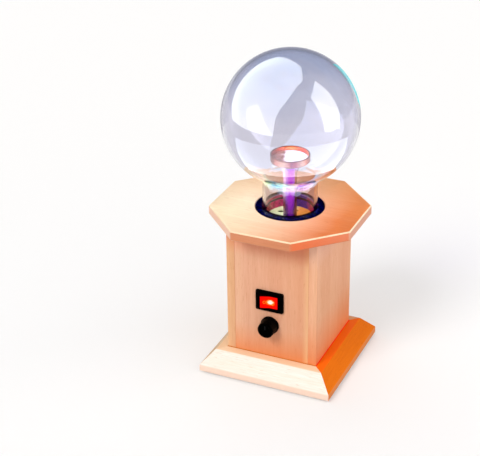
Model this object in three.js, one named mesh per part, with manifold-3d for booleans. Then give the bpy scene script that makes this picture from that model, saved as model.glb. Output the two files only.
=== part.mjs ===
// An aroma lamp: a clear glass globe over a copper heating dish on a violet-lit glass stem,
// standing on a square wooden cabinet with an octagonal top board and a bevelled plinth.
// Millimetres, +Z up, front at -Y, origin on the table under the middle of the globe.
import * as THREE from "three";
import { mergeVertices } from "three/addons/utils/BufferGeometryUtils.js";
import Module from "manifold-3d";

const wasm = await Module();
wasm.setup();

// ---------------------------------------------------------------- driving dimensions

const clearance = 0.3; // round a piece that passes through, turns in or drops into another
const seatGap = 0.1; // under a flange or nut that is screwed home
const overcut = 1; // how far a cutting solid runs past the face it opens
const roundSides = 32; // facets of the large round pieces
const smallSides = 16; // facets of the small round pieces
const cableSides = 8;
const cableStep = 3; // length of a cable's straight pieces, in diameters
const weldDistance = 1e-4; // corners nearer than this are one corner

const foot = { diameter: 12, height: 1.5, inset: 14 };
const plinth = { reveal: 6.6, bevel: 9.7, edge: 5, height: 16.1, opening: 50 };
const cover = { lap: 5, thickness: 2.5, slot: 24, slotWidth: 2.4, slotPitch: 6, slots: 5 };
const coverScrew = { head: 5.2, shank: 2.8, length: 13, countersink: 1.5, drive: 0.7, inset: 3.2 };
const cabinet = { width: 70, height: 100.8, panel: 6.35 };
const cornerBlock = { width: 10, height: 40 };
const topBoard = { overhang: 19.2, thickness: 7, ledge: 2 };

const globe = { diameter: 97.8, wall: 2, neck: 39.8, centreRise: 68 };
const collar = { rim: 5.2, shelf: 2.9, bossWall: 2.7, proud: 0.6, neckDepth: 2.2, chamfer: 0.8 };
const seal = { thickness: 0.8, width: 2.5 };
const recessFloor = { depth: 8.4, thickness: 1.2, holes: 6, hole: 5 };
const chamber = { depth: 14, wall: 4, base: 1.5, floorLap: 1.7, flange: 2, flangeInset: 1.7, wireHole: 8 };

const dish = { diameter: 28.6, wall: 0.9, height: 5.1, rimRise: 40.5 };
const dishFloor = { thickness: 1.6, lift: 0.4 };
const dishHolder = { diameter: 18, thickness: 1.2, spigot: 4, bore: 4.4 };
const stem = { diameter: 10, wall: 1, swell: 12.6, swellLength: 6, flare: 4 };
const stemSocket = { wall: 2.7, skirt: 0.9, ledSpace: 3, shoulder: 1, shoulderWidth: 0.6 };
const lightTube = { gap: 0.7, wall: 1.1 };
const led = { thickness: 1.2, bore: 4.8, length: 2.4, width: 1.8, height: 1.1 };

const powerSwitch = {
  x: -0.9, // off the middle of the front panel
  rise: 46.7, // its centre above the plinth
  bezel: { width: 21.6, height: 16.3, thickness: 1.8, corner: 1.2 },
  body: { width: 19, height: 12.8, depth: 16, back: 1.5 },
  mouth: { width: 15.3, height: 11.2 },
};
const rocker = {
  length: 13.8,
  height: 10.6,
  dip: 1.2, // the middle of its face lies this far below its ends
  face: 2, // from the pivot to the middle of the face
  skirt: 0.5,
  keel: 4.5,
  keelWidth: 6,
  pin: 2,
  pinLength: 0.8,
  proud: 0.3,
  tilt: 10, // degrees either side of level
};
const contact = { length: 12, width: 3, thickness: 0.6, depth: 8, tilt: 6, drop: 0.9 };
const terminal = { width: 4.8, thickness: 0.8, tail: 8, pitch: 5.2 };
const neonLamp = { diameter: 2.6, length: 8, depth: 7.6 };

const dimmer = {
  x: -0.7,
  rise: 27, // its centre above the plinth
  body: { diameter: 17, depth: 8, wall: 1.2, front: 1.5 },
  bushing: { diameter: 8, proud: 2.4 },
  shaft: 6,
  wiper: { thickness: 1, gap: 1 },
  track: 1.2,
  tag: { width: 1.5, thickness: 0.6, length: 6, pitch: 4 },
  nut: { flats: 10, thickness: 1.8 },
};
const knob = { skirt: 13.9, skirtHeight: 2, grip: 12.5, tip: 12, height: 10, crown: 0.7 };
const knobFit = { lift: 0.5, front: 2, shaftGap: 0.15 };
const pointer = { width: 0.9, depth: 0.5 };

const jack = {
  rise: 13.4, // its centre above the plinth
  flange: { diameter: 14, thickness: 2 },
  barrel: { diameter: 11, length: 13 },
  socket: { diameter: 6.3, depth: 9.5, pin: 2, pinSunk: 1 },
  tail: { width: 6, thickness: 1, length: 4 },
  nut: { flats: 14, thickness: 3 },
};
const hosePort = {
  flange: { diameter: 14, thickness: 2 },
  barrel: 9,
  spigot: { diameter: 7.4, barb: 8.6, barbStep: 0.2, length: 16, barbs: 3 },
  bore: 5,
  nut: { flats: 13, thickness: 3 },
  socket: { wall: 1.7, overlap: 1.5 },
};

const circuit = { margin: 2, thickness: 1.6, lift: 6, post: 6, postInset: 3, pin: 2.6, pinProud: 1 };
const inductor = { x: -12, y: 10, diameter: 14, height: 12, waist: 10, cheek: 2 };
const capacitor = { x: -14, y: -12, diameter: 10, height: 16, crimp: 2.5, groove: 0.6 };
const terminalBlock = { x: 9.3, y: -16, width: 18, depth: 8, height: 10, ways: 4, well: 3.2, wellDepth: 1.2 };
const heatSink = { x: 10, y: 10, width: 16, base: 2.5, fins: 5, fin: 1.2, reach: 7.5, height: 17 };
const transistor = {
  width: 10,
  tab: 1.3,
  tabHeight: 12,
  body: 3.2,
  bodyHeight: 8.5,
  leg: { length: 3.5, width: 0.8, depth: 1, pitch: 2.5 },
};
const wire = { lead: 1.3, loom: 3, spread: 1.1 };

// ---------------------------------------------------------------- levels and faces

const coverWidth = plinth.opening + 2 * cover.lap;
const circuitWidth = plinth.opening - 2 * circuit.margin;
const shoulderWidth = cabinet.width + 2 * plinth.reveal;
const plinthWidth = shoulderWidth + 2 * plinth.bevel;

const plinthBottom = foot.height;
const plinthTop = plinthBottom + plinth.height;
const coverTop = plinthBottom + cover.thickness;
const boardBottom = plinthTop + cabinet.height;
const boardTop = boardBottom + topBoard.thickness;
const ledgeTop = boardBottom + topBoard.ledge;
const collarTop = boardTop + collar.proud;
const neckBottom = collarTop - collar.neckDepth;
const sealBottom = neckBottom - seal.thickness;
const floorTop = boardTop - recessFloor.depth;
const floorBottom = floorTop - recessFloor.thickness;
const chamberFloor = floorBottom - chamber.depth;
const chamberBottom = chamberFloor - chamber.base;
const globeCentre = boardTop + globe.centreRise;
const dishTop = boardTop + dish.rimRise;
const dishBottom = dishTop - dish.height;
const holderTop = dishBottom + dishFloor.lift;
const holderBottom = holderTop - dishHolder.thickness;
const ledBoardTop = chamberFloor + led.thickness;
const tubeBottom = chamberFloor + stemSocket.ledSpace + stemSocket.shoulder;
const circuitBottom = coverTop + circuit.lift;
const circuitTop = circuitBottom + circuit.thickness;

const outerFace = cabinet.width / 2;
const innerFace = outerFace - cabinet.panel;
const collarRadius = globe.neck / 2 + collar.rim;
const collarBore = globe.neck / 2 - collar.shelf;
const bossRadius = collarBore + collar.bossWall; // where the collar passes down through the board
const chamberInside = bossRadius - chamber.floorLap;
const chamberOutside = chamberInside + chamber.wall;
const stemHole = stem.diameter / 2 + clearance;
const socketRadius = stemHole + stemSocket.wall;
const ledPocket = socketRadius - stemSocket.skirt;
const ledBoardRadius = ledPocket - clearance;
const lightRadius = stem.diameter / 2 - stem.wall - lightTube.gap;
const switchHeight = plinthTop + powerSwitch.rise;
const dimmerHeight = plinthTop + dimmer.rise;
const jackHeight = plinthTop + jack.rise;
const portHeight = chamberFloor + chamber.depth / 2;
const portNutPocket = hosePort.nut.thickness + seatGap; // sinks the nut flush into the rear panel

// ---------------------------------------------------------------- shapes

// A closed three.js geometry as a solid that can be joined and cut.
function solid(geometry) {
  const bare = geometry.index ? geometry.toNonIndexed() : geometry.clone();
  bare.deleteAttribute("normal");
  bare.deleteAttribute("uv");
  const merged = mergeVertices(bare, weldDistance);
  const corners = merged.index.array;
  const triangles = [];
  for (let i = 0; i < corners.length; i += 3) {
    const [a, b, c] = [corners[i], corners[i + 1], corners[i + 2]];
    if (a !== b && b !== c && c !== a) triangles.push(a, b, c);
  }
  const mesh = new wasm.Mesh({
    numProp: 3,
    vertProperties: merged.attributes.position.array,
    triVerts: new Uint32Array(triangles),
  });
  return new wasm.Manifold(mesh);
}

function geometryOf(made) {
  const mesh = made.getMesh();
  const geometry = new THREE.BufferGeometry();
  geometry.setAttribute("position", new THREE.BufferAttribute(mesh.vertProperties, 3));
  geometry.setIndex(new THREE.BufferAttribute(mesh.triVerts, 1));
  geometry.computeVertexNormals();
  return geometry;
}

function block([x0, x1], [y0, y1], [z0, z1]) {
  const box = new THREE.BoxGeometry(x1 - x0, y1 - y0, z1 - z0);
  return solid(box.translate((x0 + x1) / 2, (y0 + y1) / 2, (z0 + z1) / 2));
}

// A block centred on x and y that rises from z0 to z1.
function slab(width, depth, z0, z1) {
  return block([-width / 2, width / 2], [-depth / 2, depth / 2], [z0, z1]);
}

function rod(radius, z0, z1, sides = smallSides) {
  const cylinder = new THREE.CylinderGeometry(radius, radius, z1 - z0, sides);
  return solid(cylinder.rotateX(Math.PI / 2).translate(0, 0, (z0 + z1) / 2));
}

// A piece turned about Z from a profile of [radius, height] points.
function turned(profile, sides = roundSides) {
  const points = profile.map(([r, z]) => new THREE.Vector2(r, z));
  if (THREE.ShapeUtils.area(points) < 0) points.reverse();
  const first = points[0];
  const last = points[points.length - 1];
  const closesItself = first.x > 0 || last.x > 0;
  if (closesItself) points.push(first.clone());
  return solid(new THREE.LatheGeometry(points, sides).rotateX(Math.PI / 2));
}

// A straight piece with the given outline in X and Y.
function prism(outline, z0, z1) {
  const shape = new THREE.Shape(outline.map(([x, y]) => new THREE.Vector2(x, y)));
  const bar = new THREE.ExtrudeGeometry(shape, { depth: z1 - z0, bevelEnabled: false });
  return solid(bar.translate(0, 0, z0));
}

function regularOutline(sides, flats, phase = 0) {
  const radius = flats / 2 / Math.cos(Math.PI / sides);
  return Array.from({ length: sides }, (_, i) => {
    const angle = phase + (2 * Math.PI * (i + 0.5)) / sides;
    return [radius * Math.cos(angle), radius * Math.sin(angle)];
  });
}

// Four quarter circles joined by straight sides.
function roundedOutline(width, height, corner, steps = 3) {
  const outline = [];
  for (let quarter = 0; quarter < 4; quarter++) {
    const sx = quarter === 0 || quarter === 3 ? 1 : -1;
    const sy = quarter < 2 ? 1 : -1;
    for (let step = 0; step <= steps; step++) {
      const angle = (Math.PI / 2) * (quarter + step / steps);
      const x = sx * (width / 2 - corner) + corner * Math.cos(angle);
      const y = sy * (height / 2 - corner) + corner * Math.sin(angle);
      outline.push([x, y]);
    }
  }
  return outline;
}

// From a hexagon's middle to its corners.
function hexRadius(flats) {
  return flats / 2 / Math.cos(Math.PI / 6);
}

function nut(flats, thickness, bore, z0) {
  const hex = prism(regularOutline(6, flats), z0, z0 + thickness);
  return hex.subtract(rod(bore / 2, z0 - overcut, z0 + thickness + overcut));
}

// A wire or loom through the given points.
function cable(points, diameter) {
  const path = new THREE.CatmullRomCurve3(points.map((p) => new THREE.Vector3(...p)));
  const section = new THREE.Shape(
    regularOutline(cableSides, diameter).map(([x, y]) => new THREE.Vector2(x, y)),
  );
  const steps = Math.ceil(path.getLength() / (cableStep * diameter));
  return solid(new THREE.ExtrudeGeometry(section, { steps, extrudePath: path }));
}

// Copies of a cutting or added solid, turned evenly about Z.
function ring(made, count) {
  const copies = Array.from({ length: count }, (_, i) => made.rotate([0, 0, (360 * i) / count]));
  return copies.reduce((all, one) => all.add(one));
}

// ---------------------------------------------------------------- placing

const lamp = new THREE.Group();

const finishes = {
  maple: { color: 0xe9b98c, roughness: 0.5 },
  fibreboard: { color: 0x9a6b45, roughness: 0.8 },
  blackGloss: { color: 0x08080c, roughness: 0.15 },
  blackPlastic: { color: 0x101012, roughness: 0.45 },
  rubber: { color: 0x18181a, roughness: 0.85 },
  silicone: { color: 0xd8d8d8, roughness: 0.6 },
  glass: { color: 0xeef2fb, roughness: 0.02 },
  violetAcrylic: { color: 0xc014e0, roughness: 0.3 },
  copper: { color: 0xd98a5c, roughness: 0.2, metalness: 1 },
  ceramic: { color: 0xf4f0ec, roughness: 0.5 },
  steel: { color: 0xc9ccd0, roughness: 0.3, metalness: 1 },
  brass: { color: 0xd2a94f, roughness: 0.3, metalness: 1 },
  aluminium: { color: 0xb9bcc0, roughness: 0.4, metalness: 1 },
  redGlow: { color: 0xe8200c, roughness: 0.3 },
  neon: { color: 0xff6a2a, roughness: 0.2 },
  circuitGreen: { color: 0x1c6b3a, roughness: 0.5 },
  violetChip: { color: 0xb060ff, roughness: 0.3 },
  ferrite: { color: 0x3a3a3e, roughness: 0.7 },
  sleeveBlue: { color: 0x24408c, roughness: 0.4 },
  terminalGreen: { color: 0x2f8f52, roughness: 0.5 },
  wireWhite: { color: 0xe8e6df, roughness: 0.6 },
  wireRed: { color: 0xb3261e, roughness: 0.5 },
};

function place(name, finish, made, parent = lamp) {
  const mesh = new THREE.Mesh(
    geometryOf(made),
    new THREE.MeshStandardMaterial({ metalness: 0, ...finishes[finish] }),
  );
  mesh.name = name;
  parent.add(mesh);
  return mesh;
}

// A group on the front face: x to the right, y up, z out towards the user.
function frontGroup(x, height) {
  const group = new THREE.Group();
  group.position.set(x, -outerFace, height);
  group.rotation.x = Math.PI / 2;
  lamp.add(group);
  return group;
}

// A group on the rear face, with z out to the rear and y up.
function rearGroup(height) {
  const group = new THREE.Group();
  group.position.set(0, outerFace, height);
  group.rotation.set(-Math.PI / 2, 0, Math.PI);
  lamp.add(group);
  return group;
}

const corners = [
  ["front_left", -1, -1],
  ["front_right", 1, -1],
  ["rear_left", -1, 1],
  ["rear_right", 1, 1],
];

// ---------------------------------------------------------------- base

const footOffset = plinthWidth / 2 - foot.inset;
const screwOffset = coverWidth / 2 - coverScrew.inset;

function makeFeet() {
  for (const [corner, sx, sy] of corners) {
    const pad = rod(foot.diameter / 2, 0, foot.height);
    place("foot_" + corner, "rubber", pad).position.set(sx * footOffset, sy * footOffset, 0);
  }
}

// The screw, or with a gap the hole that takes it.
function screwShape(gap) {
  const shank = coverScrew.shank / 2 + gap;
  const head = coverScrew.head / 2 + gap;
  const neck = coverScrew.countersink + gap;
  const tip = coverScrew.length + gap;
  const profile = [
    [0, 0],
    [head, 0],
    [shank, neck],
    [shank, tip - shank],
    [0, tip],
  ];
  return turned(profile, smallSides).translate([0, 0, plinthBottom]);
}

function atScrews(made) {
  return corners
    .map(([, sx, sy]) => made.translate([sx * screwOffset, sy * screwOffset, 0]))
    .reduce((all, one) => all.add(one));
}

function makePlinth() {
  const corner = Math.SQRT2 / 2; // half-width to the corner of a square
  const profile = [
    [0, plinthBottom],
    [plinthWidth * corner, plinthBottom],
    [plinthWidth * corner, plinthBottom + plinth.edge],
    [shoulderWidth * corner, plinthTop],
    [0, plinthTop],
  ];
  const rebate = coverWidth + 2 * clearance;
  const made = turned(profile, 4)
    .rotate([0, 0, 45])
    .subtract(slab(plinth.opening, plinth.opening, plinthBottom - overcut, plinthTop + overcut))
    .subtract(slab(rebate, rebate, plinthBottom - overcut, coverTop))
    .subtract(atScrews(screwShape(clearance)));
  place("plinth", "maple", made);
}

const postOffset = circuitWidth / 2 - circuit.postInset;

function atPosts(made) {
  return corners
    .map(([, sx, sy]) => made.translate([sx * postOffset, sy * postOffset, 0]))
    .reduce((all, one) => all.add(one));
}

function makeBottomCover() {
  const post = rod(circuit.post / 2, coverTop - overcut, circuitBottom);
  const pin = rod(circuit.pin / 2, coverTop, circuitTop + circuit.pinProud);
  let made = slab(coverWidth, coverWidth, plinthBottom, coverTop).add(atPosts(post.add(pin)));
  for (let i = 0; i < cover.slots; i++) {
    const y = (i - (cover.slots - 1) / 2) * cover.slotPitch;
    const slot = slab(cover.slot, cover.slotWidth, 0, coverTop + overcut).translate([0, y, 0]);
    made = made.subtract(slot);
  }
  place("bottom_cover", "fibreboard", made.subtract(atScrews(screwShape(clearance))));
}

function makeCoverScrews() {
  const { head, drive } = coverScrew;
  const slot = slab(head - 2 * drive, drive, plinthBottom - overcut, plinthBottom + drive);
  const made = screwShape(0).subtract(slot.add(slot.rotate([0, 0, 90])));
  for (const [corner, sx, sy] of corners) {
    const screw = place("cover_screw_" + corner, "steel", made);
    screw.position.set(sx * screwOffset, sy * screwOffset, 0);
  }
}

// ---------------------------------------------------------------- cabinet

// A rod-shaped hole through a panel, along Y.
function panelHole(diameter, x, z, sides = smallSides) {
  const deep = 2 * cabinet.width;
  return rod(diameter / 2, -deep, deep, sides).rotate([90, 0, 0]).translate([x, 0, z]);
}

function makePanels() {
  const across = [-innerFace, innerFace];
  const height = [plinthTop, boardBottom];
  const body = powerSwitch.body;
  const holeHalfWidth = body.width / 2 + clearance;
  const holeHalfHeight = body.height / 2 + clearance;
  const switchHole = block(
    [powerSwitch.x - holeHalfWidth, powerSwitch.x + holeHalfWidth],
    [-outerFace - overcut, -innerFace + overcut],
    [switchHeight - holeHalfHeight, switchHeight + holeHalfHeight],
  );
  const dimmerHole = panelHole(dimmer.bushing.diameter + 2 * clearance, dimmer.x, dimmerHeight);
  const jackHole = panelHole(jack.barrel.diameter + 2 * clearance, 0, jackHeight);
  const portHole = panelHole(hosePort.barrel + 2 * clearance, 0, portHeight);
  const front = block(across, [-outerFace, -innerFace], height);
  const rear = block(across, [innerFace, outerFace], height);
  const nutPocket = rod(hexRadius(hosePort.nut.flats) + clearance, 0, portNutPocket)
    .rotate([-90, 0, 0])
    .translate([0, innerFace, portHeight]);
  const side = block([innerFace, outerFace], [-outerFace, outerFace], height);
  place("front_panel", "maple", front.subtract(switchHole).subtract(dimmerHole));
  place("rear_panel", "maple", rear.subtract(jackHole).subtract(portHole).subtract(nutPocket));
  place("right_panel", "maple", side);
  place("left_panel", "maple", side.rotate([0, 0, 180]));
}

function makeCornerBlocks() {
  const half = cornerBlock.width / 2;
  const bottom = (plinthTop + chamberBottom - cornerBlock.height) / 2; // midway up the free corner
  const made = slab(cornerBlock.width, cornerBlock.width, bottom, bottom + cornerBlock.height);
  for (const [corner, sx, sy] of corners) {
    const glued = place("corner_block_" + corner, "maple", made);
    glued.position.set(sx * (innerFace - half), sy * (innerFace - half), 0);
  }
}

function makeTopBoard() {
  const width = cabinet.width + 2 * topBoard.overhang;
  const made = prism(regularOutline(8, width), boardBottom, boardTop)
    .subtract(rod(collarRadius + clearance, ledgeTop, boardTop + overcut, roundSides))
    .subtract(rod(bossRadius + clearance, boardBottom - overcut, boardTop, roundSides));
  place("top_board", "maple", made);
}

// ---------------------------------------------------------------- collar and air chamber

function makeCollar() {
  const rebate = globe.neck / 2 + clearance;
  const edge = collar.chamfer;
  const profile = [
    [collarBore, floorTop],
    [bossRadius, floorTop],
    [bossRadius, ledgeTop],
    [collarRadius, ledgeTop],
    [collarRadius, collarTop - edge],
    [collarRadius - edge, collarTop],
    [rebate + edge / 2, collarTop],
    [rebate, collarTop - edge / 2],
    [rebate, sealBottom],
    [collarBore, sealBottom],
  ];
  place("globe_collar", "blackGloss", turned(profile));
}

function makeSeal() {
  const outside = globe.neck / 2;
  const profile = [
    [outside - seal.width, sealBottom],
    [outside, sealBottom],
    [outside, neckBottom],
    [outside - seal.width, neckBottom],
  ];
  place("globe_seal", "silicone", turned(profile));
}

function makeRecessFloor() {
  const [low, high] = [floorBottom - overcut, floorTop + overcut];
  const circle = (stemHole + collarBore) / 2; // the air holes lie midway between stem and collar
  const hole = rod(recessFloor.hole / 2, low, high, smallSides).translate([circle, 0, 0]);
  const made = rod(bossRadius - clearance, floorBottom, floorTop, roundSides)
    .subtract(rod(stemHole, low, high))
    .subtract(ring(hole, recessFloor.holes).rotate([0, 0, 180 / recessFloor.holes]));
  place("recess_floor", "aluminium", made);
}

function makeAirChamber() {
  const pocket = bossRadius + clearance; // holds the collar's boss and the recess floor
  const flangeRadius = innerFace - chamber.flangeInset;
  const profile = [
    [pocket, boardBottom],
    [pocket, floorBottom],
    [chamberInside, floorBottom],
    [chamberInside, chamberFloor],
    [chamber.wireHole / 2, chamberFloor],
    [chamber.wireHole / 2, chamberBottom],
    [chamberOutside, chamberBottom],
    [chamberOutside, boardBottom - chamber.flange],
    [flangeRadius, boardBottom - chamber.flange],
    [flangeRadius, boardBottom],
  ];
  const { wall } = hosePort.socket;
  const bore = hosePort.barrel / 2 + clearance;
  const mouth = innerFace - clearance; // just short of the rear panel
  const toRear = (made) => made.rotate([-90, 0, 0]).translate([0, 0, portHeight]);
  const made = turned(profile)
    .add(toRear(rod(bore + wall, chamberInside + overcut, mouth)))
    .subtract(toRear(rod(bore, chamberInside - overcut, mouth + overcut)));
  place("air_chamber", "blackPlastic", made);
}

// ---------------------------------------------------------------- glass globe

// Points of a circle about the globe's centre, from its crown down to the neck's radius.
function globeArc(radius, neckRadius, steps = 15) {
  const last = Math.PI - Math.asin(neckRadius / radius);
  return Array.from({ length: steps + 1 }, (_, i) => {
    const angle = (last * i) / steps;
    return [radius * Math.sin(angle), globeCentre + radius * Math.cos(angle)];
  });
}

function makeGlobe() {
  const outside = globe.diameter / 2;
  const neck = globe.neck / 2;
  const outer = globeArc(outside, neck);
  const inner = globeArc(outside - globe.wall, neck - globe.wall);
  const profile = [...outer, [neck, neckBottom], [neck - globe.wall, neckBottom], ...inner.reverse()];
  place("glass_globe", "glass", turned(profile));
}

// ---------------------------------------------------------------- stem and dish

function makeStemSocket() {
  const shoulder = chamberFloor + stemSocket.ledSpace;
  const shoulderBore = stem.diameter / 2 - stemSocket.shoulderWidth;
  const profile = [
    [ledPocket, chamberFloor],
    [socketRadius, chamberFloor],
    [socketRadius, floorBottom],
    [stemHole, floorBottom],
    [stemHole, tubeBottom],
    [shoulderBore, tubeBottom],
    [shoulderBore, shoulder],
    [ledPocket, shoulder],
  ];
  place("stem_socket", "blackPlastic", turned(profile, smallSides));
}

function makeLights() {
  const disc = rod(ledBoardRadius, chamberFloor, ledBoardTop);
  place("led_board", "circuitGreen", disc.subtract(rod(led.bore / 2, 0, boardTop)));
  const offset = (lightRadius + ledBoardRadius) / 2;
  const chip = slab(led.width, led.length, 0, led.height);
  place("violet_led", "violetChip", chip).position.set(offset, 0, ledBoardTop);
}

// The stem's outline from its foot to its top, standing in from the outside by the given depth.
function stemSide(depth) {
  const narrow = stem.diameter / 2 - depth;
  const wide = stem.swell / 2 - depth;
  const swellStart = holderBottom - stem.swellLength;
  const flareSteps = 4;
  const flare = Array.from({ length: flareSteps + 1 }, (_, i) => {
    const t = i / flareSteps;
    const ease = t * t * (3 - 2 * t);
    return [narrow + (wide - narrow) * ease, swellStart - stem.flare * (1 - t)];
  });
  return [[narrow, tubeBottom], ...flare, [wide, holderBottom]];
}

function makeStem() {
  const profile = [...stemSide(0), ...stemSide(stem.wall).reverse()];
  place("stem_tube", "glass", turned(profile, smallSides));
  const top = holderBottom - dishHolder.spigot - clearance;
  const light = rod(lightRadius, ledBoardTop, top);
  const bore = rod(lightRadius - lightTube.wall, ledBoardTop - overcut, top + overcut);
  place("light_tube", "violetAcrylic", light.subtract(bore));
}

function makeDish() {
  const outside = dish.diameter / 2;
  const inside = outside - dish.wall;
  const profile = [
    [inside, dishBottom],
    [outside, dishBottom],
    [outside, dishTop],
    [inside, dishTop],
  ];
  place("dish_ring", "copper", turned(profile));
  const plate = rod(inside - clearance, holderTop, holderTop + dishFloor.thickness, roundSides);
  place("dish_floor", "ceramic", plate);
  const spigot = stem.swell / 2 - stem.wall - clearance;
  const holder = rod(dishHolder.diameter / 2, holderBottom, holderTop)
    .add(rod(spigot, holderBottom - dishHolder.spigot, holderTop))
    .subtract(rod(dishHolder.bore / 2, 0, holderTop + overcut));
  place("dish_holder", "steel", holder);
}

// ---------------------------------------------------------------- power switch

function terminalShape(top) {
  const { width, thickness, tail } = terminal;
  return slab(thickness, width, -powerSwitch.body.depth - tail, top);
}

function makeSwitch() {
  const group = frontGroup(powerSwitch.x, switchHeight);
  const { bezel, body, mouth } = powerSwitch;
  const faceTop = seatGap + bezel.thickness;
  const pivot = faceTop + rocker.proud - rocker.face;
  const cavityFloor = -body.depth + body.back;
  const pinReach = rocker.height / 2 + rocker.pinLength;
  const pinHole = rod(rocker.pin / 2 + clearance, -pinReach - clearance, pinReach + clearance);
  const contactTop = -contact.depth - contact.drop;
  const terminals = [
    ["left", -terminal.pitch, contactTop - clearance],
    ["middle", 0, -contact.depth - contact.thickness / 2 - clearance],
    ["right", terminal.pitch, contactTop - clearance],
  ];

  const outline = roundedOutline(bezel.width, bezel.height, bezel.corner);
  const slotSize = [terminal.thickness, terminal.width].map((size) => size + 2 * clearance);
  const slot = slab(...slotSize, -body.depth - overcut, cavityFloor + overcut);
  let housing = prism(outline, seatGap, faceTop)
    .add(slab(body.width, body.height, -body.depth, seatGap + overcut))
    .subtract(slab(mouth.width, mouth.height, cavityFloor, faceTop + overcut))
    .subtract(pinHole.rotate([90, 0, 0]).translate([0, 0, pivot]));
  for (const [, x] of terminals) {
    housing = housing.subtract(slot.translate([x, 0, 0]));
  }
  place("switch_housing", "blackGloss", housing, group);

  for (const [side, x, top] of terminals) {
    place("switch_terminal_" + side, "brass", terminalShape(top), group).position.x = x;
  }

  // Seen along its pivot: a shallow V in front, and a keel behind that works the contact.
  const end = rocker.length / 2;
  const keel = rocker.keelWidth / 2;
  const section = [
    [-end, -(rocker.face + rocker.dip)],
    [-end, rocker.skirt],
    [-keel, rocker.keel],
    [keel, rocker.keel],
    [end, rocker.skirt],
    [end, -(rocker.face + rocker.dip)],
    [0, -rocker.face],
  ];
  const pins = rod(rocker.pin / 2, -pinReach, pinReach);
  const paddle = prism(section, -rocker.height / 2, rocker.height / 2).add(pins);
  const turnUp = [-90, 0, 0]; // the pivot runs up the panel, the face looks outwards
  const paddleMesh = place("switch_rocker", "redGlow", paddle.rotate(turnUp), group);
  paddleMesh.position.z = pivot;
  paddleMesh.rotation.y = THREE.MathUtils.degToRad(rocker.tilt);

  const half = contact.length / 2;
  const seesaw = block([-half, half], [-contact.width / 2, contact.width / 2], [0, contact.thickness]);
  const seesawMesh = place("switch_contact", "copper", seesaw, group);
  seesawMesh.position.z = -contact.depth - contact.thickness / 2;
  seesawMesh.rotation.y = THREE.MathUtils.degToRad(-contact.tilt);

  const tube = rod(neonLamp.diameter / 2, -neonLamp.length / 2, neonLamp.length / 2);
  const lampMesh = place("switch_lamp", "neon", tube.rotate([0, 90, 0]), group);
  lampMesh.position.y = (mouth.height - neonLamp.diameter) / 2 - clearance;
  lampMesh.position.z = -neonLamp.depth;
}

// ---------------------------------------------------------------- heat control

function makeDimmer() {
  const group = frontGroup(dimmer.x, dimmerHeight);
  const { body, bushing, track, tag, wiper } = dimmer;
  const bodyFront = -cabinet.panel - seatGap;
  const bodyBack = bodyFront - body.depth;
  const shaftBore = dimmer.shaft / 2 + clearance;
  const inside = body.diameter / 2 - body.wall;
  const can = rod(body.diameter / 2, bodyBack, bodyFront)
    .add(rod(bushing.diameter / 2, bodyFront - body.front / 2, bushing.proud))
    .subtract(rod(inside, bodyBack - overcut, bodyFront - body.front))
    .subtract(rod(shaftBore, bodyBack, bushing.proud + overcut));
  place("dimmer_body", "steel", can, group);

  const wafer = rod(body.diameter / 2, bodyBack - seatGap - track, bodyBack - seatGap);
  const tags = [-1, 0, 1].map((i) => {
    const reach = body.diameter / 2 + tag.length;
    const leg = slab(tag.width, reach, bodyBack - seatGap - tag.thickness, bodyBack - seatGap);
    return leg.translate([i * tag.pitch, -reach / 2, 0]);
  });
  place("dimmer_track", "ceramic", tags.reduce((all, one) => all.add(one), wafer), group);

  const shaftTip = knobFit.lift + knob.height - knobFit.front - clearance;
  const wiperBack = bodyBack + wiper.gap;
  const shaft = rod(dimmer.shaft / 2, wiperBack, shaftTip).add(
    rod(inside - clearance, wiperBack, wiperBack + wiper.thickness),
  );
  place("dimmer_shaft", "aluminium", shaft, group);

  const { flats, thickness } = dimmer.nut;
  place("dimmer_nut", "steel", nut(flats, thickness, bushing.diameter + 2 * clearance, seatGap), group);
  makeKnob(group);
}

function makeKnob(group) {
  const { lift, front, shaftGap } = knobFit;
  const top = lift + knob.height;
  const cavity = hexRadius(dimmer.nut.flats) + clearance;
  const cavityTop = dimmer.bushing.proud + clearance;
  const profile = [
    [0, lift],
    [knob.skirt / 2, lift],
    [knob.skirt / 2, lift + knob.skirtHeight],
    [knob.grip / 2, lift + knob.skirtHeight],
    [knob.tip / 2, top - knob.crown],
    [knob.tip / 2 - knob.crown, top],
    [0, top],
  ];
  const reach = knob.skirt;
  const groove = [top - pointer.depth, top + overcut];
  const line = block([-pointer.width / 2, pointer.width / 2], [0, reach], groove);
  const made = turned(profile)
    .subtract(rod(cavity, lift - overcut, cavityTop, roundSides))
    .subtract(rod(dimmer.shaft / 2 + shaftGap, lift, top - front))
    .subtract(line);
  place("control_knob", "blackPlastic", made, group);
}

// ---------------------------------------------------------------- rear fittings

function makeJack() {
  const group = rearGroup(jackHeight);
  const { flange, barrel, socket, tail } = jack;
  const face = seatGap + flange.thickness;
  const barrelBack = -barrel.length;
  const made = rod(flange.diameter / 2, seatGap, face)
    .add(rod(barrel.diameter / 2, barrelBack, face))
    .subtract(rod(socket.diameter / 2, face - socket.depth, face + overcut))
    .add(rod(socket.pin / 2, face - socket.depth - overcut, face - socket.pinSunk))
    .add(slab(tail.width, tail.thickness, barrelBack - tail.length, barrelBack + overcut));
  place("dc_jack", "blackPlastic", made, group);
  const { flats, thickness } = jack.nut;
  const inside = -cabinet.panel - seatGap - thickness;
  place("dc_jack_nut", "steel", nut(flats, thickness, barrel.diameter + 2 * clearance, inside), group);
}

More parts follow.
